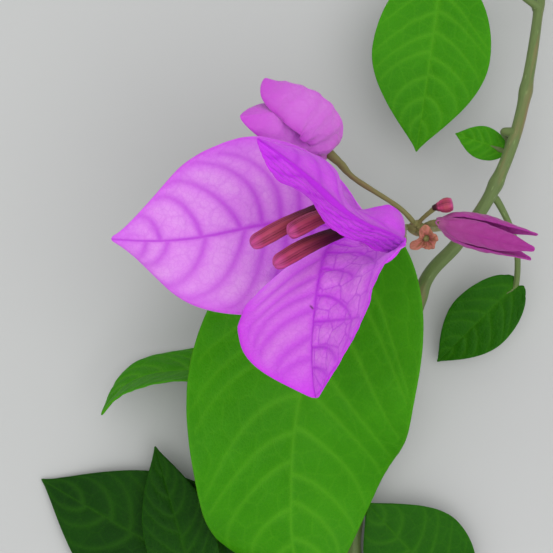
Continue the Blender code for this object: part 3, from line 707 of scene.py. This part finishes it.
BRACT_THICKNESS = 0.26
BRACT_GRID = (230, 181)             # rows and columns of points
BRACT_VEIN_WIDTHS = (0.55, 0.26)
NET_WIDTHS = (0.17, 0.12)           # the net's lines, and the finer net's
BRACT_QUILT = (0.30, 0.20, 0.05)    # height between veins, in the net's cells, in finer ones
FINE_CELL = 0.42                    # the finer cells' size against the net's
MARK_PURPLE = (0.10, 0.02, 0.10)
OPEN_BLOOM = {"base": tuple(OPEN_BLOOM_AT), "heading": 192.0, "climb": 33.0}

OPEN_BRACTS = {
    "left": dict(
        **OPEN_BLOOM, turn=166.0, stand_off=1.2, length=42.0, half_width=16.0, nib=0.6,
        widest_at=0.42, base_share=0.34, taper=1.18, lobe=2.0,
        left_share=(0.97, 0.97), right_share=(1.07, 1.07),
        spread=(64.0, 22.0, 42.0), sweep=(-15.0, 6.0, -7.0), roll=(-38.0, 4.0),
        fold_left=(-22.0, 9.0, 4.0, -8.0), fold_right=(-29.0, -14.0, -1.0, 18.0),
        curl_left=(26.0, 53.0, -45.0), curl_right=(24.0, 17.0, -16.0)),
    "lower": dict(
        **OPEN_BLOOM, turn=-78.4, stand_off=0.3, length=36.8, half_width=15.5, nib=1.7,
        widest_at=0.61, base_share=0.65, taper=1.18, lobe=2.6, lag_left=2.4,
        left_share=(0.56, 0.97, 1.08, 1.10), right_share=(1.32, 1.0, 1.02, 1.30),
        spread=(-10.0, 43.6, 65.5, 87.8), sweep=(1.0, 24.0, -3.5, -16.0),
        roll=(-17.0, -21.0, -17.0, -7.0),
        fold_left=(-46.0, -29.0, -3.0, 23.0), fold_right=(-16.0, -5.0, 3.0, 19.0),
        curl_left=(-4.0, 34.0, 31.0, -18.0), curl_right=(-31.0, 6.0, 6.0)),
    "upper": dict(
        base=tuple(UPPER_BRACT_AT), heading=192.0, climb=33.0, turn=39.7, stand_off=0.8,
        length=36.6, half_width=6.8, widest_at=0.70, base_share=0.55, taper=0.85, nib=0.3,
        lobe=-2.0, lag_left=1.5, lag_right=-4.9,
        left_share=(0.60, 1.25, 1.48, 1.05, 1.42, 1.36, 1.18),
        right_share=(0.82, 0.58, 0.78, 0.54),
        spread=(54.0, 21.7, 32.8, 7.7), sweep=(-34.5, 15.0, 54.7, 62.3),
        roll=(-62.8, -31.5, -50.7, -12.4),
        fold_left=(26.5, 34.4, 17.8, 5.6), fold_right=(11.3, 39.2, 67.4, 22.8),
        curl_left=(-19.1, 30.9, 40.7, 47.9), curl_right=(36.1, 40.2, 51.1, 27.5)),
}

# Side veins of each bract: where one starts on the midrib, how far it rises towards the
# tip, how late it bends, how far out it reaches, and its half, 1 left and -1 right.
BRACT_VEINS = {
    "left": (
        (0.17, 0.10, 3.0, 0.80, -1), (0.245, 0.16, 3.0, 0.82, -1),
        (0.318, 0.30, 3.2, 0.88, -1), (0.393, 0.30, 2.6, 0.92, -1),
        (0.482, 0.30, 1.5, 0.92, -1), (0.642, 0.20, 1.6, 0.88, -1),
        (0.805, 0.10, 1.5, 0.80, -1),
        (0.20, 0.14, 2.6, 0.85, 1), (0.30, 0.20, 2.2, 0.88, 1), (0.385, 0.24, 2.0, 0.90, 1),
        (0.465, 0.28, 1.4, 0.92, 1), (0.625, 0.18, 1.3, 0.92, 1), (0.775, 0.12, 1.4, 0.85, 1),
        (0.86, 0.05, 1.6, 0.80, 1)),
    "lower": (
        (0.18, 0.20, 3.0, 0.80, 1), (0.275, 0.75, 3.2, 0.78, 1), (0.40, 0.62, 2.0, 0.40, 1),
        (0.55, 0.33, 1.5, 0.88, 1), (0.67, 0.06, 1.0, 0.78, 1), (0.785, 0.10, 1.6, 0.80, 1),
        (0.87, 0.06, 1.6, 0.80, 1),
        (0.31, 0.28, 2.2, 0.80, -1), (0.44, 0.32, 2.6, 0.84, -1), (0.535, 0.36, 3.0, 0.80, -1),
        (0.615, 0.26, 2.0, 0.78, -1), (0.735, 0.20, 1.3, 0.86, -1),
        (0.83, 0.10, 1.5, 0.85, -1)),
    "upper": (
        (0.20, 0.22, 2.0, 0.85, -1), (0.34, 0.26, 1.7, 0.88, -1), (0.47, 0.28, 1.6, 0.90, -1),
        (0.61, 0.24, 1.5, 0.90, -1), (0.75, 0.17, 1.5, 0.88, -1), (0.87, 0.09, 1.5, 0.80, -1),
        (0.24, 0.22, 2.0, 0.85, 1), (0.39, 0.25, 1.8, 0.88, 1), (0.53, 0.25, 1.6, 0.90, 1),
        (0.67, 0.20, 1.5, 0.90, 1), (0.80, 0.12, 1.5, 0.85, 1)),
}


def bract_finish(name, pale, body, rim, vein, foot, glow=0.0):
    """Bract skin: pale over the cells, purer at the margin, darker in the veins and foot.

    Deep in the bloom it glows a little: a painted glow, the skin's own colour sent out as
    light, in place of the light that comes through the bracts into the shade there.
    """
    made, tree, shader = new_finish(name, 0.55, 0.10)
    where = add_node(tree, "TexCoord").outputs["Object"]
    flat = attribute(tree, "flat", "Vector")
    cloud = noise(tree, where, 160.0, 3.0)
    cell = maths(tree, "MULTIPLY", attribute(tree, "cell"),
                 spread(tree, cloud, 0.15, 0.60))
    skin = mix(tree, cell, body, pale)
    skin = mix(tree, attribute(tree, "rim"), skin, rim)
    warp = add_node(tree, "TexNoise", {"Vector": flat, "Scale": 0.8}).outputs["Color"]
    bent = add_node(tree, "VectorMath", {0: warp, 1: flat, 2: flat}, operation="ADD")
    cells = add_node(tree, "TexVoronoi", {"Vector": bent.outputs[0], "Scale": 1.15},
                     feature="DISTANCE_TO_EDGE").outputs["Distance"]
    fine = spread(tree, cells, 0.11, 0.0)
    skin = mix(tree, maths(tree, "MULTIPLY", fine, 0.16), skin, vein)
    for key, share in (("net", 0.70), ("vein", 0.90)):
        skin = mix(tree, maths(tree, "MULTIPLY", attribute(tree, key), share), skin, vein)
    skin = mix(tree, attribute(tree, "foot"), skin, foot)
    skin = mix(tree, attribute(tree, "mark"), skin, MARK_PURPLE)
    tree.links.new(skin, shader.inputs["Base Color"])
    # Painted glow: deep in the bloom the skin sends out its own colour, lifting the shade there.
    tree.links.new(mix(tree, attribute(tree, "deep"), (0.0, 0.0, 0.0), skin),
                   shader.inputs["Emission Color"])
    shader.inputs["Emission Strength"].default_value = glow
    grain = noise(tree, flat, 4.5, 5.0, 0.65)
    height = maths(tree, "ADD", maths(tree, "MULTIPLY", grain, 0.6),
                   maths(tree, "MULTIPLY", spread(tree, cells, 0.0, 0.2), 0.4))
    raise_surface(tree, shader, height, 0.05)
    let_light_in(shader, 0.55, (0.9, 0.35, 1.0))
    shader.inputs["Sheen Weight"].default_value = 0.10
    return made


# glow is how strongly each bract's painted glow lifts the shade deep in the bloom.
BRACT_FINISHES = {
    "left": bract_finish("left_bract_skin", (0.62, 0.315, 0.68), (0.57, 0.205, 0.66),
                         (0.52, 0.110, 0.67), (0.40, 0.040, 0.55), (0.42, 0.030, 0.54),
                         glow=0.18),
    "lower": bract_finish("lower_bract_skin", (0.59, 0.200, 0.67), (0.52, 0.100, 0.65),
                          (0.52, 0.040, 0.70), (0.35, 0.008, 0.53), (0.44, 0.012, 0.64),
                          glow=0.45),
    "upper": bract_finish("upper_bract_skin", (0.54, 0.085, 0.68), (0.49, 0.050, 0.66),
                          (0.50, 0.032, 0.68), (0.35, 0.010, 0.52), (0.36, 0.020, 0.46)),
}


def marks_of(blade, t, v, marks):
    """How much of a dark mark is at each point.

    A mark is (t, v, length, width, lean): a soft streak with its middle there, that long and
    wide in mm, turned from the midrib's direction by the lean in radians.
    """
    found = np.zeros(t.shape)
    for at_t, at_v, long, wide, lean in marks:
        ahead = (t - at_t) * blade["length"]
        over = v * half_width(blade, t) - at_v * blade["half_width"]
        a = ahead * math.cos(lean) + over * math.sin(lean)
        b = over * math.cos(lean) - ahead * math.sin(lean)
        found = np.maximum(found, np.exp(-((a / long) ** 4) - (b / wide) ** 2))
    return found


def new_bract(name, blade, veins, seed, grid, finish, slot, node, marks=(),
              cell_size=3.4, wave=0.25, net_left=0.5, net_right=0.5, stretch=1.0,
              soft=(1.0, 1.0), vein_share=1.0, tip_from=0.86, wrinkle=0.0, crease=0.0):
    """A bract: its blade formula, quilted between the veins and waved towards the margin.

    The height added along the normal is the quilt, which rises with the distance from the
    nearest vein and from the lines of a net and a finer net, less a groove along each vein,
    plus a wave of the margin, plus wrinkles that run along the right half like a sine of the
    distance from the midrib, less a crease that deepens the midrib between half way and
    three quarters of the length. Nets and quilt are weaker where a half's share is less.
    """
    t, v = blade_grid(*grid)
    share = np.where(v > 0, net_left, net_right)
    soft = np.where(v > 0, soft[0], soft[1])
    vein, near = veins_of(blade, t, v, veins, [width * soft for width in BRACT_VEIN_WIDTHS])
    gap = net_of(blade, t, v, cell_size, seed, stretch)
    fine_gap = net_of(blade, t, v, cell_size * FINE_CELL, seed + 50, stretch)
    net = (np.exp(-((gap / (NET_WIDTHS[0] * soft)) ** 2))
           + 0.45 * np.exp(-((fine_gap / (NET_WIDTHS[1] * soft)) ** 2)))
    net = np.clip(net, 0.0, 1.0) * (1.0 - vein) * np.clip(near / 0.4, 0.0, 1.0) * share
    out = np.abs(v)
    tip = np.clip((t - tip_from) / (1.0 - tip_from), 0.0, 1.0)
    rim = np.clip(np.maximum((out - 0.72) / 0.28, 0.0) ** 1.5 + tip, 0.0, 1.0)
    cell = (1.0 - np.exp(-((near / 1.5) ** 2))) * (1.0 - rim)
    foot = np.maximum(np.exp(-((t / 0.13) ** 2)), 0.35 * np.exp(-((t / 0.36) ** 2)))
    foot = foot * (1.0 - 0.5 * out)

    by_vein, by_net, by_fine_net = BRACT_QUILT
    quilt = by_vein * np.clip(0.20 + 1.6 * share, 0.0, 1.0) * (1.0 - np.exp(-((near / 1.7) ** 2)))
    quilt = quilt + by_net * share * (1.0 - np.exp(-((gap / 0.8) ** 2)))
    quilt = quilt + by_fine_net * share * (1.0 - np.exp(-((fine_gap / 0.35) ** 2)))
    edge = wave * out**4 * np.sin(15.0 * t + 1.3 * np.sign(v) + seed)
    over = out * half_width(blade, t)
    along_it = t * blade["length"]
    ripple = np.sin(5.2 * over + 1.1 * np.sin(0.8 * along_it) + 0.5 * np.sin(2.3 * along_it))
    folds = wrinkle * ripple * (v < 0) * np.clip(over / 1.2, 0.0, 1.0)
    groove = crease * np.exp(-((over / 0.9) ** 2) - ((t - 0.62) / 0.16) ** 2)
    height = quilt - VEIN_GROOVE * vein + edge + folds - groove
    height = height * np.sqrt(1.0 - t**6) * np.clip(t / 0.12, 0.0, 1.0)
    surface = rise_along_normal(blade_points(blade, t, v), height)

    # Colour: the troughs of the wrinkles are darkened like the lines of the net, a painted
    # shade in their hollows, and the midrib and the very edge are full veins.
    net = np.maximum(net, 4.0 * np.clip(-folds, 0.0, 0.15))
    middle = np.exp(-((over / (0.62 - 0.42 * t)) ** 2))
    vein = np.maximum(vein * np.clip(0.2 + 2.7 * share, 0.0, 1.0), middle)
    vein = vein_share * np.maximum(vein, 0.6 * np.clip((out - 0.955) / 0.045, 0.0, 1.0))
    # deep is where the painted glow is, strongest at the foot of the bract.
    new_sheet(name, surface, BRACT_THICKNESS,
              {"vein": vein, "net": net, "rim": rim, "cell": cell, "foot": foot,
               "deep": np.exp(-((t / 0.42) ** 2)), "mark": marks_of(blade, t, v, marks),
               "flat": flat_of(blade, t, v, seed)},
              finish, slot, node)


# How strongly net and quilt show on each half, how far the net's cells are drawn out, how
# soft the veins of each half are, and how high the wrinkles and how deep the crease are.
BRACT_NETS = {
    "left": dict(net_left=0.20, net_right=0.26, soft=(1.6, 1.5)),
    "lower": dict(net_left=0.95, net_right=0.08, soft=(0.8, 1.5)),
    "upper": dict(net_left=0.16, net_right=0.36, stretch=2.6, wrinkle=0.15, crease=0.5),
}
BRACT_MARKS = {"lower": ((0.600, -0.045, 0.55, 0.16, 0.75),)}      # one small dark streak

for number, (name, bract) in enumerate(OPEN_BRACTS.items()):
    new_bract(name + "_bract", {**PLAIN_BLADE, **bract}, BRACT_VEINS[name], 3 + number,
              BRACT_GRID, BRACT_FINISHES[name], "bract", "open_bloom",
              BRACT_MARKS.get(name, ()), **BRACT_NETS[name])


# ------------------------------------------------------------------------ the flower tubes
# In front of each bract stands a true flower, still closed: a tube with five ribs and
# finer ones between, narrow below and swollen above, its five lobes folded at the tip.

FLOWER_TUBES = {
    "left": ((8.6, 11.4, 48.0), (7.3, 11.0, 49.0), (1.6, 8.2, 50.7), (-4.1, 5.0, 52.0)),
    "upper": ((10.6, 10.7, 50.6), (9.4, 10.4, 52.0), (5.6, 8.8, 54.2), (1.9, 6.8, 56.0)),
    "lower": ((12.4, 7.6, 47.0), (11.0, 7.4, 49.0), (5.2, 5.0, 52.3), (-0.4, 1.8, 55.0)),
}
TUBE_RADII = (0.45, 0.75, 0.92, 0.98, 1.08, 1.22, 1.34, 1.38, 1.30)
# The dark foot of each tube is painted shade, where it reaches down into the bloom.
SHADED_TUBE_FEET = {"left": 0.60, "upper": 0.55, "lower": 0.66}    # share of each tube that is dark
TUBE_SHAFT = 0.88                   # share of a tube's rings below its rounded tip
TIP_FROM, TIP_LENGTH = 0.915, 0.085     # the tip's place and length, as shares of the tube


def tube_finish(name, dark, ridge, glow, tip):
    """Skin of a flower tube: dark furrows, rosy ribs with an olive glow, a purple tip.

    Its foot goes almost black: painted shade, where the tube goes down into the bloom.
    """
    made, tree, shader = new_finish(name, 0.48, 0.2)
    flat = attribute(tree, "strand", "Vector")
    rib = attribute(tree, "rib")
    grain = noise(tree, flat, 3.2, 4.0)
    skin = mix(tree, spread(tree, maths(tree, "ADD", rib, maths(tree, "MULTIPLY", grain, 0.3)),
                            0.55, 1.02), dark, ridge)
    middle = maths(tree, "MULTIPLY", attribute(tree, "glow"), spread(tree, rib, 0.3, 1.0))
    skin = mix(tree, maths(tree, "MULTIPLY", middle, 0.55), skin, glow)
    skin = mix(tree, maths(tree, "MULTIPLY", attribute(tree, "tip"), 0.8), skin, tip)
    # Painted shade: the foot, down in the bloom, goes almost black.
    skin = mix(tree, attribute(tree, "foot"), skin, tuple(0.45 * c for c in dark))
    tree.links.new(skin, shader.inputs["Base Color"])
    raise_surface(tree, shader, grain, 0.08)
    shader.inputs["Sheen Weight"].default_value = 0.03
    let_light_in(shader, 0.10, (0.8, 0.2, 0.3))
    return made


TUBE_FINISH = tube_finish("flower_tube_skin", (0.055, 0.003, 0.013), (0.41, 0.040, 0.130),
                          (0.25, 0.050, 0.030), (0.46, 0.055, 0.26))


def new_flower_tube(name, knots, radii, node, dark, rib_depth=0.24, count=190, sides=110):
    """A closed flower tube: rings with five ribs, drawn together in five folds at the tip.

    A ring's radius is the eased radius times 1 + depth * (rib - 0.6). The rib is
    |cos(5/2 angle)| ** 0.6, so that each is round and each furrow narrow, with a third of
    it taken by a finer one twice as often. The last rings close on a rounded dome, where the
    ribs stand out as the folded lobes. The painted shade over the foot ends at the share dark.
    """
    s = np.linspace(0.0, 1.0, count)
    body = np.clip(s / TUBE_SHAFT, 0.0, 1.0)
    end = np.clip((s - TUBE_SHAFT) / (1.0 - TUBE_SHAFT), 0.0, 1.0) * np.pi / 2.0
    stations = TIP_FROM * body + TIP_LENGTH * np.sin(end)
    radius = along(body, radii) * np.maximum(np.cos(end), 0.01) ** 0.8
    angle = np.linspace(0.0, 2.0 * np.pi, sides, endpoint=False)[None, :]
    rib = (0.65 * np.abs(np.cos(2.5 * angle)) ** 0.6
           + 0.35 * np.abs(np.cos(5.0 * angle)) ** 0.6 + 0.0 * s[:, None])
    depth = rib_depth * (0.5 + 0.5 * body + 0.6 * np.sin(end))[:, None]
    radius = radius[:, None] * (1.0 + depth * (rib - 0.6))
    rings, angle, run = rings_along(knots, stations, radius, sides)
    fine = 0.5 + 0.5 * np.cos(10.0 * angle + 0.0 * s[:, None])
    values = {
        "rib": np.clip(rib + 0.12 * fine, 0.0, 1.0),
        "glow": np.exp(-(((s - 0.66) / 0.20) ** 2))[:, None] + 0.0 * rib,
        "tip": np.clip((s - 0.86) / 0.10, 0.0, 1.0)[:, None] * (0.3 + 0.7 * rib),
        # painted shade over the foot
        "foot": np.exp(-((s / dark) ** 7))[:, None] + 0.0 * rib,
        "strand": strand_of(angle, run, 1.0),
    }
    new_tube(name, rings, values, TUBE_FINISH, "flower_tube", node)


for name, knots in FLOWER_TUBES.items():
    new_flower_tube(name + "_flower_tube", knots, TUBE_RADII, "flower_tube_" + name,
                    SHADED_TUBE_FEET[name])


# ------------------------------------------------------------------------- the young bloom
# Behind the open bloom is a younger one. Its three bracts are still cupped together, edge
# to edge, round the flowers inside.

YOUNG_BLADE = {
    **PLAIN_BLADE, "stand_off": 0.5, "widest_at": 0.45, "base_share": 0.35,
    "half_width": 7.8, "nib": 0.5, "fold_left": (5.0, 10.0, 5.0), "fold_right": (5.0, 10.0, 5.0),
    "curl_left": (60.0, 62.0, 40.0), "curl_right": (60.0, 62.0, 40.0),
}
YOUNG_GRID = (150, 121)
YOUNG_BRACTS = {
    "back": dict(
        turn=74.0, length=21.9, half_width=8.4, widest_at=0.56, base_share=0.45, taper=0.74,
        right_share=(1.03, 1.07, 1.14, 1.06, 1.09),
        spread=(133.0, 77.0, 41.0, 22.0, 0.0, -15.0, -1.0),
        sweep=(-15.0, -14.0, -14.0, -13.0, 6.0, 32.0), roll=(-4.0, -10.0, -25.0),
        fold_left=(7.0, 10.0, 9.0), fold_right=(13.0, 5.0, -8.0),
        curl_left=(58.0, 66.0, 79.0), curl_right=(59.0, 62.0, 68.0)),
    "front": dict(
        turn=36.0, length=22.6, widest_at=0.50, taper=0.85,
        spread=(115.0, 48.0, 2.0, -14.0, -10.0), sweep=(0.0, 0.0, -13.0, -26.0, -24.0)),
    "under": dict(turn=-100.0, length=17.0, half_width=7.0, spread=(85.0, 30.0, -10.0, -10.0)),
}
YOUNG_FINISH = bract_finish("young_bract_skin", (0.60, 0.19, 0.66), (0.54, 0.135, 0.60),
                            (0.47, 0.055, 0.52), (0.49, 0.09, 0.54), (0.46, 0.10, 0.42))


def young_veins(count):
    """Side veins of a young bract, evenly spaced up both halves."""
    return [(start, 0.24 - 0.12 * start, 1.6, 0.88, side)
            for start in np.linspace(0.12, 0.82, count) for side in (1, -1)]


for number, (name, bract) in enumerate(YOUNG_BRACTS.items()):
    bract = {**YOUNG_BLADE, "base": tuple(YOUNG_BLOOM_AT), "heading": 160.0, "climb": 2.0,
             **bract}
    new_bract(f"young_bloom_{name}_bract", bract, young_veins(6), 21 + number, YOUNG_GRID,
              YOUNG_FINISH, "young_bract", "young_bloom", cell_size=2.2, wave=0.1,
              vein_share=0.40, tip_from=0.72)


# -------------------------------------------------------------------------- the side bloom
# A second, smaller young bloom points the other way from the same knob. It is narrow and
# dark pink, paler at its foot, its three bracts closed like a spindle.

SIDE_GRID = (110, 81)
SIDE_BRACTS = (
    ("top", 10.0, (45.0, 8.0, -10.0, 0.0)),
    ("left", 130.0, (45.0, 8.0, -10.0, 5.0)),
    ("right", -110.0, (45.0, 8.0, -8.0, -4.0)),
)
SIDE_FINISH = bract_finish("side_bract_skin", (0.34, 0.050, 0.26), (0.31, 0.035, 0.23),
                           (0.30, 0.030, 0.24), (0.26, 0.020, 0.19), (0.40, 0.12, 0.27))

for number, (name, turn, lean) in enumerate(SIDE_BRACTS):
    bract = {**YOUNG_BLADE, "base": tuple(SIDE_BLOOM_AT), "heading": -15.0, "climb": 4.0,
             "turn": turn, "length": 17.0, "half_width": 2.7, "spread": lean}
    new_bract(f"side_bloom_{name}_bract", bract, young_veins(5), 31 + number, SIDE_GRID,
              SIDE_FINISH, "young_bract", "side_bloom", cell_size=1.8, wave=0.08)


# --------------------------------------------------------------------------- the small bud
# The youngest flower of the group is a crimson club on a short stalk of its own, with no
# bract beside it, ribbed like the tubes.

SMALL_BUD_REACH = np.array([3.3, 0.7, 0.6])
SMALL_BUD_RADII = (0.40, 0.55, 0.78, 1.05, 1.20, 1.22, 1.05)

# Its foot is darkened too, by the same painted shade.
new_flower_tube("small_bud_club",
                (SMALL_BUD_AT, SMALL_BUD_AT + 0.5 * SMALL_BUD_REACH,
                 SMALL_BUD_AT + SMALL_BUD_REACH),
                SMALL_BUD_RADII, "small_bud", dark=0.25, rib_depth=0.12, count=110, sides=70)


# ---------------------------------------------------------------------- the withered flower
# One flower is over: its tube has dried to a short brown funnel, and the lobes of its rim
# have shrunk to four rosy, crumpled teeth round a dark throat.

WITHERED_RADIUS = 0.45
WITHERED_REACH = 1.15
WITHERED_TOOTH = 0.8
WITHERED_DEPTH = 1.6
WITHERED_WALL = 0.30
WITHERED_RINGS, WITHERED_SIDES = 46, 128


def withered_finish():
    """Dry flower skin: rose and brown in streaks from the throat, which is almost black."""
    made, tree, shader = new_finish("withered_skin", 0.75, 0.2)
    strand = attribute(tree, "strand", "Vector")
    streaks = noise(tree, strand, 2.6, 5.0, 0.7)
    skin = mix(tree, spread(tree, streaks, 0.38, 0.62), (0.15, 0.065, 0.02),
               (0.42, 0.120, 0.110))
    skin = mix(tree, maths(tree, "MULTIPLY", attribute(tree, "rim"), 0.6), skin,
               (0.40, 0.17, 0.11))
    skin = mix(tree, attribute(tree, "throat"), skin, (0.045, 0.035, 0.012))
    tree.links.new(skin, shader.inputs["Base Color"])
    raise_surface(tree, shader, streaks, 0.16)
    let_light_in(shader, 0.08, (0.6, 0.25, 0.15))
    return made


def new_withered_flower(name, centre, axis, node):
    """An open funnel as one closed skin that goes out along the inside and back outside.

    At share s from throat to rim the radius is the throat's, plus the reach times s, plus a
    tooth times s squared times cos(2 angle) squared, all of it more on one side than on the
    other and crumpled by two waves; the height is minus the depth times (1 - s) squared. The
    outside is the same, a wall's width away.
    """
    side = unit(np.cross(axis, [0.0, 0.0, 1.0]))
    up = np.cross(side, axis)
    angle = np.linspace(0.0, 2.0 * np.pi, WITHERED_SIDES, endpoint=False)[None, :]
    s = np.concatenate([np.linspace(0.0, 1.0, WITHERED_RINGS),
                        np.linspace(1.0, 0.0, WITHERED_RINGS)])[:, None]
    outer = np.repeat([0.0, 1.0], WITHERED_RINGS)[:, None]
    crumple = 0.16 * s * np.sin(7.0 * angle + 3.0 * s) + 0.10 * s * np.sin(13.0 * angle - 5.0 * s)
    uneven = 1.0 + 0.22 * np.sin(angle + 0.6) + 0.14 * np.sin(3.0 * angle + 2.0)
    radius = (WITHERED_RADIUS + WITHERED_REACH * s * uneven
              + WITHERED_TOOTH * s**2 * uneven**2 * np.cos(2.0 * angle) ** 2)
    radius = radius + 0.5 * WITHERED_WALL * (2.0 * outer - 1.0) * (1.0 - s**6)
    height = -WITHERED_DEPTH * (1.0 - s) ** 2 + crumple
    height = height + 0.5 * WITHERED_WALL * (1.0 - 2.0 * outer) * (1.0 - s**6)
    rings = (centre + (radius * np.cos(angle))[..., None] * side
             + (radius * np.sin(angle))[..., None] * up + height[..., None] * axis)
    values = {
        "rim": s**3 + 0.0 * angle,
        "throat": np.clip(1.0 - s / 0.34, 0.0, 1.0) * (1.0 - outer) + 0.0 * angle,
        "strand": np.stack([1.5 * np.cos(angle) + 0.0 * s, 1.5 * np.sin(angle) + 0.0 * s,
                            0.8 * s + 0.0 * angle], axis=-1),
    }
    new_tube(name, rings, values, withered_finish(), "withered", node)


new_withered_flower("old_flower_funnel", WITHERED_FLOWER_AT, OLD_FLOWER_AXIS,
                    "withered_flower")


# ------------------------------------------------------------------ floor, light and camera
# The sprig lies on a plain pale floor under a bright, even sky, with one wide soft lamp
# almost overhead. The camera looks straight down on the open bloom. Their places and
# sides are in metres.

FLOOR_SIDE = 6.0
FLOOR_GREY = (0.430, 0.438, 0.433)
SKY_STRENGTH = 0.96
LAMP_AT = np.array([0.15, -0.10, 1.0])
LAMP_AIM = np.array([0.0, 0.0, 0.04])
LAMP_SIDE = 1.2
LAMP_WATTS = 6.3
CAMERA_HEIGHT = 0.416
CAMERA_LENS, CAMERA_FILM = 148.0, 36.0


def new_floor():
    """One wide square, level with the lowest point of the sprig."""
    mesh = bpy.data.meshes.new("floor")
    half = FLOOR_SIDE / 2.0
    corners = [(-half, -half, 0.0), (half, -half, 0.0), (half, half, 0.0), (-half, half, 0.0)]
    mesh.from_pydata(corners, [], [(0, 1, 2, 3)])
    made, tree, shader = new_finish("floor_paint", 0.85, 0.1)
    where = add_node(tree, "TexCoord").outputs["Object"]
    cloud = noise(tree, where, 3.0, 2.0)
    tone = mix(tree, cloud, tuple(0.97 * c for c in FLOOR_GREY),
               tuple(1.03 * c for c in FLOOR_GREY))
    tree.links.new(tone, shader.inputs["Base Color"])
    mesh.materials.append(made)
    floor = bpy.data.objects.new("floor", mesh)
    bpy.context.scene.collection.objects.link(floor)


def light_scene():
    """An even white sky and one wide square lamp that looks at the bloom."""
    world = bpy.data.worlds.new("sky")
    bpy.context.scene.world = world
    world.use_nodes = True
    sky = world.node_tree.nodes["Background"]
    sky.inputs["Color"].default_value = (1.0, 1.0, 1.0, 1.0)
    sky.inputs["Strength"].default_value = SKY_STRENGTH
    lamp = bpy.data.lights.new("lamp", "AREA")
    lamp.energy = LAMP_WATTS
    lamp.size = LAMP_SIDE
    holder = bpy.data.objects.new("lamp", lamp)
    bpy.context.scene.collection.objects.link(holder)
    holder.location = LAMP_AT
    toward = LAMP_AIM - LAMP_AT
    flat_run = math.hypot(toward[0], toward[1])
    holder.rotation_euler = (math.atan2(flat_run, -toward[2]), 0.0,
                             math.atan2(toward[1], toward[0]) - math.pi / 2.0)


def place_camera():
    """The camera over the sprig, looking straight down, with the stem's run upwards."""
    camera = bpy.data.cameras.new("camera")
    camera.lens = CAMERA_LENS
    camera.sensor_width = CAMERA_FILM
    camera.clip_start = 0.01
    holder = bpy.data.objects.new("camera", camera)
    holder.location = (-ORIGIN[0] * MM, -ORIGIN[1] * MM, CAMERA_HEIGHT)
    bpy.context.scene.collection.objects.link(holder)
    bpy.context.scene.camera = holder


new_floor()
light_scene()
place_camera()
bpy.context.scene.view_settings.view_transform = "Standard"
